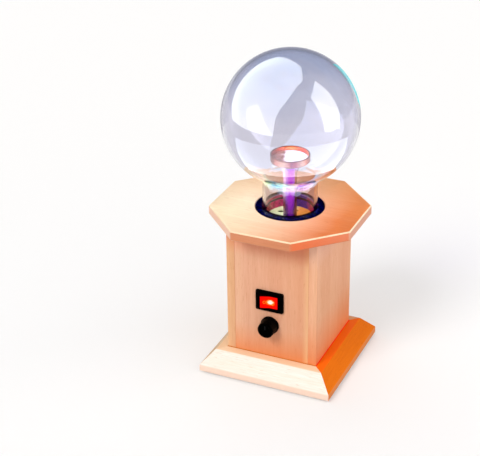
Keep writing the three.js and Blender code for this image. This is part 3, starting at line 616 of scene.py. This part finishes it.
def moulding(name, section, quarter, joint=0.0, sharp=35):
    """The section drawn along one side of the lamp and mitred at both ends, with a gap for the
    joint. quarter takes it from the front to the right, rear or left side."""
    ends = [[(sign * (d - joint), -d, z) for d, z in section] for sign in (-1, 1)]
    return skin(ends, name, sharp=sharp, matrix=Matrix.Rotation(math.pi / 2 * quarter, 4, "Z"))


def make_plinth():
    """Four mouldings mitred at the corners, painted in lit and shaded copies of the wood: pale cream on
    the lit front and left, deep orange on the shaded right, with painted highlight lines along their
    edges.
    """
    bottom, top = heights("plinth")
    outside = half_width("plinth")
    brow = bottom + 5
    shoulder = outside - 9.7
    well = 25.0
    rebate = half_width("bottom_cover") + 0.3
    cover_top = bottom + 2.5
    section = [
        (rebate, bottom), (outside, bottom), (outside, brow), (shoulder, top),
        (well, top), (well, cover_top), (rebate, cover_top),
    ]
    section = soften(section, 0.5, 3, closed=True)
    # painted highlights: lines along the brow and the top edge, pale on the lit sides, orange on the
    # shaded right
    edge, head = ("Z", brow + 0.5, brow - 0.3), ("Z", top - 0.4, top - 0.1)
    band = [(*edge, "#FFDCC6", 0.85), (*head, "#F9D0A6", 0.85)]
    shaded_side_edge_lines = [(*edge, "#F29A60", 0.8), (*head, "#FF6C06", 0.85)]
    # painted light and shade: one copy of the wood for each side, by where it faces the light
    lit_and_shaded_tones = [
        ("front", "#FFFFFA", "#FFF6EA", "X", band),
        ("right", "#FA8608", "#F07804", "Y", shaded_side_edge_lines),
        ("rear", "#F3BE90", "#E9A474", "X", []),
        ("left", "#FCE6C8", "#F4C89C", "Y", band),
    ]
    for quarter, (side, pale, deep, along, painted_light_and_shade) in enumerate(lit_and_shaded_tones):
        mesh = moulding("plinth_" + side, section, quarter, joint=0.05, sharp=28)
        finish = wood("maple_plinth_" + side, pale, deep, along, 11 + 7 * quarter, None, painted_light_and_shade)
        add_piece("plinth_" + side, mesh, finish, "plinth", "maple")
    glue_line(top)


def glue_line(level):
    """The thin bead of glue and lacquer where the panels meet the plinth, a dark joint whose tone on each
    side is painted light and shade, vivid red on the shaded right.
    """
    half, proud = -low("left_panel").x - 0.4, 0.85
    # painted light and shade: the bead's tone on each side, vivid red on the shaded right
    lit_and_shaded_tones = [("front", "#C8742C"), ("right", "#FF2A04"), ("rear", "#B87040"), ("left", "#C89058")]
    section = [(half, level), (half + proud, level), (half + 0.45, level + 0.5), (half, level + 0.5)]
    for quarter, (side, tone) in enumerate(lit_and_shaded_tones):
        finish = plain("glue_" + side, tone, tone, 0.4, Specular_IOR_Level=0.1)
        mesh = moulding("glue_line_" + side, section, quarter)
        add_piece("glue_line_" + side, mesh, finish, "plinth", "maple")


def make_panels():
    # painted shade: deep orange towards the foot of the panels, by the plinth
    foot = ("Z", 54, 16, "#F0741C", 0.7)
    # painted shadow of the top board over the panels' upper part
    under = ("Z", 97, 119, "#F0704C", 0.7)
    # the front panel's painted light: deeper to the right and towards its foot, a pale painted highlight
    # at its right edge, and the top board's painted shadow
    front = [
        ("X", -16, 24, "#E08C58", 0.35), ("Z", 42, 15, "#EC7A24", 0.7),
        ("X", 24, 30, "#FFD49C", 0.65), under,
    ]
    sides = [
        ("front_panel", "#F8C8A6", "#ECB092", 21, front),
        # the right panel's painted light: deep orange at its foot, a pale painted highlight towards its
        # top
        ("right_panel", "#FBC6A2", "#EFAE88", 34, [foot, ("Z", 96, 119, "#FFD6C6", 0.5)]),
        ("rear_panel", "#EDB48C", "#E0A07A", 47, [under]),
        ("left_panel", "#F4C498", "#E8AC82", 60, [under]),
    ]
    for node, pale, deep, shift, painted_light_and_shade in sides:
        dress(node, wood("maple_" + node, pale, deep, "Z", shift, None, painted_light_and_shade), 0.35)
    inner = wood("maple_blocks", "#EDBE96", "#DDA278", "Z", 5)
    for corner in CORNERS:
        dress("corner_block_" + corner, inner, 0.4)


# -------- globe and collar

def make_globe():
    foot = low("glass_globe").z
    neck = half_width("globe_seal")
    centre = globe_centre()
    fillet = 3.0
    reach = GLOBE_RADIUS + fillet
    hub = Vector((neck + fillet, centre - math.sqrt(reach ** 2 - (neck + fillet) ** 2)))
    lean = math.atan2(centre - hub.y, -hub.x)

    def side(depth, sides=60, bends=10):
        """The glass from the crown to the foot of the neck, this deep inside its outer face."""
        radius, bend = GLOBE_RADIUS - depth, fillet + depth
        last = math.pi - math.asin(hub.x / reach)
        points = [(radius * math.sin(last * i / sides), centre + radius * math.cos(last * i / sides))
                  for i in range(sides + 1)]
        for i in range(1, bends + 1):
            angle = lean + (math.pi - lean) * i / bends
            points.append((hub.x + bend * math.cos(angle), hub.y + bend * math.sin(angle)))
        straight = hub.y - foot - 1.2
        points += [(neck - depth, hub.y - straight * i / 12) for i in range(1, 13)]
        return points

    lip = [(neck - 0.08, foot + 0.6), (neck - 0.35, foot + 0.15), (neck - 1.0, foot),
           (neck - 1.65, foot + 0.15), (neck - 1.92, foot + 0.6)]
    profile = side(0) + lip + side(GLOBE_WALL)[::-1]
    rings = [ripple(circle(r, z, 144), hub.y) for r, z in profile]
    add_piece("glass_globe", skin(rings, "glass_globe", sharp=60), globe_glass(),
              "glass_globe", "clear_glass", "globe")


def ripple(ring, join):
    """Hand-worked glass is lumpy where the neck is welded on."""
    if len(ring) < 3:
        return ring
    made = []
    for x, y, z in ring:
        near = math.exp(-((z - join - 2.0) / 2.5) ** 2)
        wave = noise.noise(Vector((x * 0.24, y * 0.24, z * 0.5)))
        push = 1 + 0.016 * near * wave
        made.append((x * push, y * push, z + 0.5 * near * wave))
    return made


def make_collar():
    bottom, top = heights("globe_collar")
    rim = half_width("globe_collar")
    boss = half_width("recess_floor") + 0.3
    bore = boss - 2.7
    rebate = half_width("globe_seal") + 0.3
    shelf = low("globe_seal").z
    ledge = low("top_board").z + 2
    profile = [
        (bore, bottom), (boss, bottom), (boss, ledge), (rim, ledge), (rim, top - 0.8), (rim - 0.8, top),
        (rebate + 0.4, top), (rebate, top - 0.4), (rebate, shelf), (bore, shelf),
    ]
    mesh = turned("globe_collar", profile, closed=True, edge=0.35, sharp=50)
    ring = add_piece("globe_collar", mesh, [black_gloss(), recess_wall()], "globe_collar", "black_gloss")
    # the bore's faces take the painted violet glow of the recess wall
    for polygon in ring.data.polygons:
        if polygon.center.xy.length < (bore + 0.1) * MM:
            polygon.material_index = 1


def recess_wall():
    """The bore under the globe, glowing with painted violet light, wine red on its left to navy on its
    right.
    """
    paint = Paint("recess_wall", "#200818", 0.35, Specular_IOR_Level=0.05)
    # painted light: the bore's wall glows
    paint.glow(recess_hues(paint), 0.75)
    return paint.material


def recess_hues(paint):
    """The cloudy hues of the violet light in the recess, painted light laid across it."""
    cloudy = paint.noise(paint.spot((1, 1, 0.7)), 0.22, 4, 0.65, 0.8)
    place = paint.wander(paint.along(ACROSS), cloudy, 2)
    painted_light_sweep = paint.ramp(
        paint.span(place, -16, 16), (0.0, "#7A1420"), (0.3, "#A01058"), (0.46, "#500068"),
        (0.6, "#10045A"), (0.93, "#2A1068"), (1.0, "#7A1030"))
    return paint.mix(0.6, painted_light_sweep, paint.ramp(cloudy, (0.35, "#40102C"), (0.7, "#E070B0")), "OVERLAY")


def make_seal():
    outside = half_width("globe_seal")
    bottom, top = heights("globe_seal")
    mesh = turned("globe_seal", pipe(outside - 2.5, outside, bottom, top), closed=True)
    finish = plain("silicone", "#101014", "#08080A", 0.6, Specular_IOR_Level=0.1)
    add_piece("globe_seal", mesh, finish, "globe_seal", "silicone")


# -------- stem and dish

def make_stem():
    foot, top = heights("stem_tube")
    wide, narrow, wall = half_width("stem_tube"), 5.0, 1.0
    flare, steps = 10, 12

    def side(depth):
        """The glass from its foot to its mouth, this deep inside its outer face."""
        points = [(narrow - depth, foot)]
        for i in range(steps + 1):
            share = min(1.0, i / steps / 0.4)
            ease = share * share * (3 - 2 * share)
            points.append((narrow - depth + (wide - narrow) * ease, top - flare + flare * i / steps))
        return points

    mesh = turned("stem_tube", side(0) + side(wall)[::-1], SMALL, closed=True, edge=0.3)
    add_piece("stem_tube", mesh, stem_glass(), "stem_tube", "clear_glass")
    foot, top = heights("light_tube")
    outside = half_width("light_tube")
    mesh = turned("light_tube", pipe(outside - 1.1, outside, foot, top), SMALL, closed=True)
    add_piece("light_tube", mesh, violet(), "light_tube", "violet_acrylic")


def stem_glass():
    """The stem's glass, tinted darker violet low down as painted shade and violet light, with a painted
    pale highlight glowing up its left side.
    """
    paint = clear_glass("stem_glass", "#F2E0F8", 0)
    height = paint.axis("Z")
    rim = high("globe_collar").z
    # painted shade and violet light: the glass darker violet low down
    rise = paint.span(height, rim - 6, rim + 14)
    paint.set("Base Color", paint.ramp(rise, (0.0, "#8A58A0"), (1.0, "#F4E4FA")))
    # painted highlight: a pale glow up the left side
    left = paint.times(paint.span(paint.along(ACROSS), -3.2, -4.0), paint.span(height, rim + 2, rim + 14))
    paint.set("Emission Color", linear("#E4BCF0"))
    paint.set("Emission Strength", paint.times(left, 0.4))
    return paint.material


def make_dish():
    bottom, top = heights("dish_ring")
    outside = half_width("dish_ring")
    # painted reflections and shade on the outside: darker ends, pale highlights, a violet reflection of
    # the stem in the middle
    outer = [
        (0.0, "#8A3C2C"), (0.1, "#D08870"), (0.28, "#FCCCB8"), (0.42, "#E89890"), (0.5, "#983070"),
        (0.62, "#C87080"), (0.78, "#FCCCB8"), (0.9, "#E88864"), (1.0, "#A84020"),
    ]
    # painted reflections and shade inside: darker on the left, a bright orange highlight at the back
    inner = [
        (0.0, "#8A2010"), (0.15, "#C83418"), (0.35, "#E85A18"), (0.55, "#FF9848"), (0.7, "#E86420"),
        (0.85, "#C82810"), (1.0, "#E87830"),
    ]
    # the copper glows a little outside and more inside: painted light
    skins = [copper("copper", outer, outside, 0.04), copper("copper_inside", inner, outside, 0.25)]
    mesh = turned("dish_ring", pipe(outside - 0.9, outside, bottom, top), closed=True, edge=0.32)
    ring = add_piece("dish_ring", mesh, skins, "dish_ring", "copper")
    for polygon in ring.data.polygons:
        outwards = polygon.normal.xy.dot(polygon.center.xy)
        polygon.material_index = 1 if outwards < -0.5 * polygon.center.xy.length else 0
    plate = half_width("dish_floor")
    bottom, top = heights("dish_floor")
    profile = [
        (0, bottom), (plate, bottom), (plate, top), (plate - 1.2, top),
        (plate * 0.6, top - 0.25), (0, top - 0.35),
    ]
    mesh = turned("dish_floor", profile, edge=0.3)
    add_piece("dish_floor", mesh, ceramic(), "dish_floor", "ceramic")
    bottom, top = heights("dish_holder")
    wide, lip = half_width("dish_holder"), top - 1.2
    profile = [(2.2, bottom), (5.0, bottom), (5.0, lip), (wide, lip), (wide, top), (2.2, top)]
    mesh = turned("dish_holder", profile, SMALL, closed=True)
    finish = plain("steel", "#D2D4D8", "#B4B7BC", 0.28, metal=1.0)
    add_piece("dish_holder", mesh, finish, "dish_holder", "steel")


def ceramic():
    """The pale floor of the dish, with a painted shadow and reflection of the copper wall on its left."""
    paint = Paint("ceramic", "#FBF7F2", 0.25)
    shadow_wobble = paint.noise(paint.spot(), 0.22, 3)
    # painted shadow and reflection on the left, its edge wobbling
    place = paint.span(paint.wander(paint.along(ACROSS), shadow_wobble, 2), -12, 2)
    paint.set("Base Color", paint.ramp(place, (0.0, "#6A3024"), (0.5, "#8A5446"), (0.7, "#F0E4E4")))
    paint.roughen(shadow_wobble, 0.2, 0.35)
    return paint.material


def make_recess_floor():
    """Brushed plate under the stem, glowing with painted light that runs pale green to amber across it.
    """
    paint = Paint("aluminium_floor", "#D8C890", 0.3, 0.3)
    # painted light: pale green to amber across the plate
    painted_light_sweep = paint.ramp(paint.span(paint.axis("X"), -14, 14), (0.3, "#DDF2B0"), (0.6, "#F09A34"))
    brushed = paint.noise(paint.spot((0.2, 4, 1)), 1.0, 3)
    lines = paint.ramp(brushed, (0.3, "#B89A60"), (0.7, "#FFFFFF"))
    # the plate glows: painted light
    paint.glow(paint.mix(0.2, painted_light_sweep, lines, "MULTIPLY"), 0.45)
    paint.roughen(brushed, 0.25, 0.4)
    dress("recess_floor", paint.material, 0.15)


# -------- switch and knob

def make_switch():
    centre = middle("switch_housing")
    place = facing_front(centre.x, centre.z)
    width = 2 * half_width("switch_housing")
    height = high("switch_housing").z - low("switch_housing").z
    face = low("front_panel").y - low("switch_housing").y
    back = low("front_panel").y - high("switch_housing").y
    body = (19, 12.8)
    wide, tall = 15.3, 11.2  # the opening that the rocker sits in
    outline = [
        (*body, 0.4, back), (*body, 0.4, 0.1),
        (width - 0.2, height - 0.2, 1.1, 0.1), (width, height, 1.2, 0.3),
        (width, height, 1.2, face - 0.7), (width - 0.25, height - 0.25, 1.2, face - 0.25),
        (width - 0.9, height - 0.9, 1.1, face), (wide + 0.7, tall + 0.7, 0.9, face),
        (wide + 0.1, tall + 0.1, 0.7, face - 0.3), (wide, tall, 0.6, face - 0.7),
        (wide, tall, 0.6, back + 1.5),
    ]
    mesh = skin([rounded_rectangle(*ring) for ring in outline], "switch_housing", matrix=place)
    finish = black_plastic("black_switch", 2.0, 0.2, 0.34, (0.02, 0.3))
    add_piece("switch_housing", mesh, finish, "switch_housing", "black_gloss")


def make_rocker():
    """A shallow V that pivots, with a ring for off and a bar for on."""
    switch = middle("switch_housing")
    place = at(switch.x, low("switch_housing").y + 1.7, switch.z) @ Matrix.Rotation(math.pi / 2, 4, "X")
    place = place @ Matrix.Rotation(math.radians(ROCKER_TILT), 4, "Y")
    half, tall = 6.9, 10.6
    face, dip, skirt = 2.0, 1.2, 0.5
    keel, keel_half = 4.5, 3.0
    section = soften([
        (-half, face + dip), (-half, -skirt), (-keel_half, -keel), (keel_half, -keel), (half, -skirt),
        (half, face + dip), (0, face)], 0.45, 4, closed=True)
    rings = []
    for inset, level in ((0.4, -0.5), (0.12, -0.465), (0, -0.43), (0, 0.43), (0.12, 0.465), (0.4, 0.5)):
        rings.append([(x * (1 - inset / half), level * tall, z * (1 - inset / 4)) for x, z in section])
    pieces = [("switch_rocker", skin(rings, "switch_rocker", matrix=place, sharp=50), red_lens())]
    slope = math.atan2(dip, half)
    ink = red_lens("red_lens_marks", ink=True)
    for name, x, mark in (("rocker_mark_off", -3.6, ring_mark), ("rocker_mark_on", 3.6, bar_mark)):
        tip = place @ at(x, 0, face + dip * abs(x) / half)
        tip = tip @ Matrix.Rotation(-math.copysign(slope, x), 4, "Y")
        pieces.append((name, mark(name, tip), ink))
    for side, sign in (("upper", 1), ("lower", -1)):
        pin = [(0, 5.0), (1, 5.0), (1, 6.0), (0.9, 6.1), (0, 6.1)]
        turn = place @ Matrix.Rotation(-sign * math.pi / 2, 4, "X")
        mesh = turned("rocker_pin_" + side, pin, 32, edge=0, matrix=turn)
        pieces.append(("rocker_pin_" + side, mesh, red_lens("red_lens_pin_" + side)))
    for name, mesh, finish in pieces:
        add_piece(name, mesh, finish, "switch_rocker", "red_lens", "rocker")


def ring_mark(name, matrix):
    return turned(name, pipe(0.75, 1.2, -0.1, 0.12), 40, closed=True, edge=0.06, matrix=matrix)


def bar_mark(name, matrix, width=0.5, height=2.6, corner=0.15, bevel=0.08, proud=0.12):
    """A small raised bar with its upper edge bevelled."""
    levels = ((0, -0.1), (0, proud - 0.04), (bevel, proud))
    rings = [rounded_rectangle(width - 2 * inset, height - 2 * inset, corner, z) for inset, z in levels]
    return skin(rings, name, matrix=matrix)


def make_knob():
    node = "control_knob"
    centre = middle(node)
    place = facing_front(centre.x, centre.z)
    skirt = half_width(node)
    lift = low("front_panel").y - high(node).y
    top = low("front_panel").y - low(node).y
    profile = [
        (6.1, lift), (skirt, lift), (skirt, lift + 1.7), (skirt - 0.5, lift + 2.1), (6.35, lift + 2.3),
        (6.05, top - 0.9), (5.4, top - 0.05), (4.9, top), (4.3, top - 0.25), (0, top - 0.3),
    ]
    rings = [circle(r, z, SMALL) for r, z in [(0, 2.7), (6.1, 2.7)] + soften(profile, 0.25)]
    mesh = skin(rings, "control_knob", matrix=place)
    add_piece("control_knob", mesh, black_plastic("knob_black"), node, "black_plastic", "heat_knob")
    mesh = bar_mark("knob_pointer", place @ at(0, 2.5, top - 0.3), 0.9, 3.6, 0.3, 0.06, 0.14)
    finish = plain("knob_mark", "#1C1C1E", "#101012")
    add_piece("knob_pointer", mesh, finish, node, "black_plastic", "heat_knob")


# -------- underside, back and works

def works_finishes():
    """Each finish for the plainer pieces, how far their edges are eased, and the nodes that wear it."""
    rubber = plain("rubber", "#1C1C1E", "#101012", 0.85, 1.2, 0.06)
    hardboard = plain("fibreboard", "#8A5E3C", "#6A4428", 0.75, 0.5, 0.06)
    satin = black_plastic("satin_black")
    steel = plain("plated_steel", "#D0D2D6", "#A8ABB0", 0.3, 0.4, 0.01, 1.0)
    brass = plain("brass", "#DDB060", "#B88838", 0.28, 0.4, 0.01, 1.0)
    bare = plain("aluminium", "#C8CACE", "#A4A7AC", 0.4, 0.5, 0.02, 1.0)
    bright = plain("contact_copper", "#E8A078", "#C07048", 0.25, 0.5, 0.01, 1.0)
    green = plain("solder_mask", "#1E6E3C", "#12502A", 0.4, 0.7, 0.02)
    block = plain("terminal_green", "#349858", "#26804A", 0.5, 0.8, 0.03)
    ferrite = plain("ferrite", "#404046", "#2C2C32", 0.7, 1.0, 0.05)
    sleeve = plain("sleeve_blue", "#284894", "#1C3678", 0.35, 0.6, 0.02)
    wafer = plain("wafer", "#F0ECE6", "#DCD6CE", 0.5, 0.8, 0.02)
    white = plain("wire_white", "#EAE8E0", "#D4D0C4", 0.6, 1.5, 0.04)
    red = plain("wire_red", "#BC2A20", "#961C14", 0.5, 1.5, 0.02)
    return [
        (rubber, 0.3, ["foot_" + corner for corner in CORNERS]),
        (steel, 0.15, ["cover_screw_" + corner for corner in CORNERS]),
        (hardboard, 0.2, ["bottom_cover"]),
        (satin, 0.25, ["air_chamber", "stem_socket", "transistor"]),
        (jack_plastic(), 0.25, ["dc_jack"]),
        (steel, 0.15, ["dimmer_body", "dimmer_nut", "dc_jack_nut"]),
        (brass, 0.15, ["hose_port", "hose_port_nut"]),
        (brass, 0.1, ["switch_terminal_" + side for side in ("left", "middle", "right")]),
        (bare, 0.15, ["dimmer_shaft", "heat_sink"]),
        (bright, 0.1, ["switch_contact"]),
        (green, 0.15, ["circuit_board", "led_board"]),
        (block, 0.2, ["terminal_block"]),
        (ferrite, 0.3, ["inductor"]),
        (sleeve, 0.2, ["capacitor"]),
        (wafer, 0.1, ["dimmer_track"]),
        (white, 0.0, ["heater_lead_left", "heater_lead_right", "switch_wires"]),
        (red, 0.0, ["led_wire", "dimmer_wires", "jack_wires"]),
        (glowing_part("neon", "#FF7A3A", "#FF4A12", 1.2), 0.0, ["switch_lamp"]),
        (glowing_part("violet_chip", "#C890FF", "#9A30FF", 2.0), 0.1, ["violet_led"]),
    ]


def jack_plastic():
    """Satin black round the socket, with a plated pin down its middle."""
    paint = Paint("jack_plastic", "#26262A", 0.4, Specular_IOR_Level=0.3)
    pin = paint.span(paint.away(middle("dc_jack"), (1, 0, 1)), 1.2, 1.1)
    grainy = paint.noise(paint.spot(), 2.0, 3)
    black = paint.ramp(grainy, (0.3, "#1C1C20"), (0.7, "#2E2E34"))
    paint.set("Base Color", paint.mix(pin, black, linear("#D8DADE")))
    paint.set("Metallic", pin)
    paint.roughen(grainy, 0.35, 0.5)
    return paint.material


def glowing_part(name, light, dark, strength):
    """A small lamp or diode, brighter in places."""
    paint = Paint(name, light, 0.2)
    patches = paint.noise(paint.spot(), 0.9, 2)
    paint.glow(paint.ramp(patches, (0.35, dark), (0.65, light)), strength)
    return paint.material


def make_works():
    for finish, ease, nodes in works_finishes():
        for node in nodes:
            dress(node, finish, ease)
    for node in ("hose_port", "hose_port_nut", "recess_floor"):
        shiny.objects.link(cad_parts[node])


# -------- stage, lights and camera

def seen_itself(tree):
    """1 where a surface is looked at, straight or by mirror or glass, and 0 where it only lights."""
    path = tree.nodes.new("ShaderNodeLightPath")
    seen = path.outputs["Is Camera Ray"]
    for kind in ("Is Glossy Ray", "Is Transmission Ray"):
        either = tree.nodes.new("ShaderNodeMath")
        either.operation = "MAXIMUM"
        tree.links.new(seen, either.inputs[0])
        tree.links.new(path.outputs[kind], either.inputs[1])
        seen = either.outputs[0]
    return seen


def make_floor():
    """A white sheet that takes the shadow."""
    mesh = bpy.data.meshes.new("floor")
    reach = 4.0
    corners = [(-reach, -reach, 0), (reach, -reach, 0), (reach, reach, 0), (-reach, reach, 0)]
    mesh.from_pydata(corners, [], [(0, 1, 2, 3)])
    paint = Paint("floor", "#D9D9D9", 0.9, Specular_IOR_Level=0.0)
    paint.set("Emission Color", (1, 1, 1, 1))
    paint.set("Emission Strength", paint.times(seen_itself(paint.tree), FLOOR_GLOW))
    mesh.materials.append(paint.material)
    floor = in_scene("floor", mesh)


def sun(name, towards, strength, spread, colour):
    data = bpy.data.lights.new(name, "SUN")
    data.energy = strength
    data.angle = math.radians(spread)
    data.color = linear(colour)[:3]
    made = in_scene(name, data)
    made.rotation_mode = "QUATERNION"
    made.rotation_quaternion = Vector(towards).to_track_quat("Z", "Y")
    made.visible_glossy = False
    made.visible_transmission = False


def seen_from_camera():
    """The camera's turn, as a 3 by 3 matrix."""
    yaw, pitch, roll = (math.radians(a) for a in (CAMERA_YAW, CAMERA_PITCH, CAMERA_ROLL))
    turn = Matrix.Rotation(yaw, 3, "Z") @ Matrix.Rotation(math.pi / 2 - pitch, 3, "X")
    return turn @ Matrix.Rotation(roll, 3, "Z")


def card(name, distance, corners, strength, colour="#FFFFFF", through=True):
    """A glowing board, its corners given as directions from the globe: right, up, to the camera."""
    turn = seen_from_camera()
    centre = Vector((0, 0, globe_centre())) * MM
    hub = sum((Vector(corner) for corner in corners), Vector())
    points = [centre + turn @ Vector(corner).normalized() * distance for corner in [*corners, hub]]
    last = len(corners)
    glowing(name, points, [(i, (i + 1) % last, last) for i in range(last)], strength, colour, through)


def glowing(name, points, faces, strength, colour, through):
    """A glowing surface that only mirrors see, and what shines through glass."""
    mesh = bpy.data.meshes.new(name)
    mesh.from_pydata(points, [], faces)
    material = bpy.data.materials.new(name)
    material.use_nodes = True
    tree = material.node_tree
    tree.nodes.clear()
    glow = tree.nodes.new("ShaderNodeEmission")
    glow.inputs["Color"].default_value = linear(colour)
    glow.inputs["Strength"].default_value = strength
    out = tree.nodes.new("ShaderNodeOutputMaterial")
    tree.links.new(glow.outputs[0], out.inputs["Surface"])
    mesh.materials.append(material)
    made = in_scene(name, mesh)
    made.visible_camera = False
    made.visible_diffuse = False
    made.visible_shadow = False
    made.visible_transmission = through
    made.light_linking.receiver_collection = shiny


def make_room():
    """The dim room past the white sheet."""
    shape = bmesh.new()
    bmesh.ops.create_icosphere(shape, subdivisions=4, radius=2.2)
    below = [face for face in shape.faces if face.calc_center_median().z < 0.02]
    bmesh.ops.delete(shape, geom=below, context="FACES")
    points = [vertex.co.copy() for vertex in shape.verts]
    faces = [[vertex.index for vertex in face.verts] for face in shape.faces]
    shape.free()
    glowing("room", points, faces, ROOM_GLOW, ROOM_TONE, True)


def make_world():
    """White behind the lamp, and an even light all round it."""
    world = bpy.data.worlds.new("studio")
    bpy.context.scene.world = world
    world.use_nodes = True
    tree = world.node_tree
    back = tree.nodes["Background"]
    level = tree.nodes.new("ShaderNodeMapRange")
    level.inputs["To Min"].default_value = WORLD_LIGHT
    level.inputs["To Max"].default_value = 1.0
    tree.links.new(seen_itself(tree), level.inputs["Value"])
    back.inputs["Color"].default_value = (1, 1, 1, 1)
    tree.links.new(level.outputs["Result"], back.inputs["Strength"])


def fan(spread, steps=24):
    """Headings in radians, up to this many degrees to either side of the lamp's front."""
    facing = math.atan2(OUTWARD.y, OUTWARD.x)
    return [facing + math.radians(spread) * (2 * i / steps - 1) for i in range(steps + 1)]


def make_lights():
    sun("key", (-0.24, -0.70, 0.68), 1.42, 22, "#FFFFFF")
    sun("fill", (0.90, -0.22, 0.38), 1.55, 90, "#FFF6EE")
    sun("back", (-0.62, 0.68, 0.40), 0.65, 90, "#FFFFFF")
    window = [
        (-0.946, -0.068, -0.316), (-0.874, 0.252, -0.417), (-0.6, 0.66, -0.44), (-0.152, 0.906, -0.395),
        (0.2, 0.93, 0.1), (0.267, 0.812, 0.518), (-0.1, 0.4, 0.9), (-0.412, -0.029, 0.91),
        (-0.484, -0.628, 0.609), (-0.85, -0.35, 0.3),
    ]
    card("window", 1.3, window, 6.0, "#F4F9FF")
    strip = [(0.518, 0.771, 0.369), (0.981, 0.132, 0.142), (0.909, -0.416, 0.027),
             (0.794, -0.353, 0.495), (0.479, 0.438, 0.761)]
    card("strip", 1.2, strip, 6.5)
    make_table_sheet()
    make_board_sheet()
    rim = [
        (0.47, 0.62, -0.63), (0.65, 0.44, -0.62), (0.62, 0.2, -0.76), (0.28, 0.1, -0.95),
        (0.24, 0.28, -0.93),
    ]
    card("cyan_rim", 0.28, rim, 1.4, "#38E0E0", False)
    make_flags()


def make_table_sheet():
    """A bright sheet on the table, to the front and sides of the lamp."""
    reach, level = 430, 1
    points = [Vector((reach * math.cos(turn), reach * math.sin(turn), level)) * MM for turn in fan(100.8)]
    glowing("sheet", points, [tuple(range(len(points)))], 5.2, "#EAF2FF", False)


def make_board_sheet():
    """An arc in front of the neck and level with its top, for the globe's underside to mirror."""
    level = high("globe_collar").z + 28
    turns = fan(62)
    points = [Vector((radius * math.cos(turn), radius * math.sin(turn), level)) * MM
              for radius in (41, 50) for turn in turns]
    row = len(turns)
    faces = [(i, i + 1, row + i + 1, row + i) for i in range(row - 1)]
    glowing("board_sheet", points, faces, 6.5, "#FFEAE6", False)


def make_flags():
    """Two boards as dim as the room, behind the lamp, that hide what is brighter past them."""
    for side, sign in (("left", -1), ("right", 1)):
        flag = [(0, -0.02, -1), (sign * 0.9, -0.02, -0.45), (sign * 0.9, 0.5, -0.45), (0, 0.5, -0.9)]
        card("flag_" + side, 0.37, flag, ROOM_GLOW, ROOM_TONE, False)


def make_camera():
    data = bpy.data.cameras.new("camera")
    data.sensor_width = 36
    data.lens = CAMERA_LENS
    data.clip_start, data.clip_end = 0.01, 50
    made = in_scene("camera", data)
    made.location = CAMERA_PLACE * MM
    made.rotation_euler = seen_from_camera().to_euler()
    bpy.context.scene.camera = made


# -------- the whole lamp

make_top_board()
make_plinth()
make_panels()
make_globe()
make_collar()
make_seal()
make_stem()
make_dish()
make_recess_floor()
make_switch()
make_rocker()
make_knob()
make_works()
make_floor()
make_room()
make_world()
make_lights()
make_camera()
bpy.context.scene.view_settings.view_transform = "Standard"
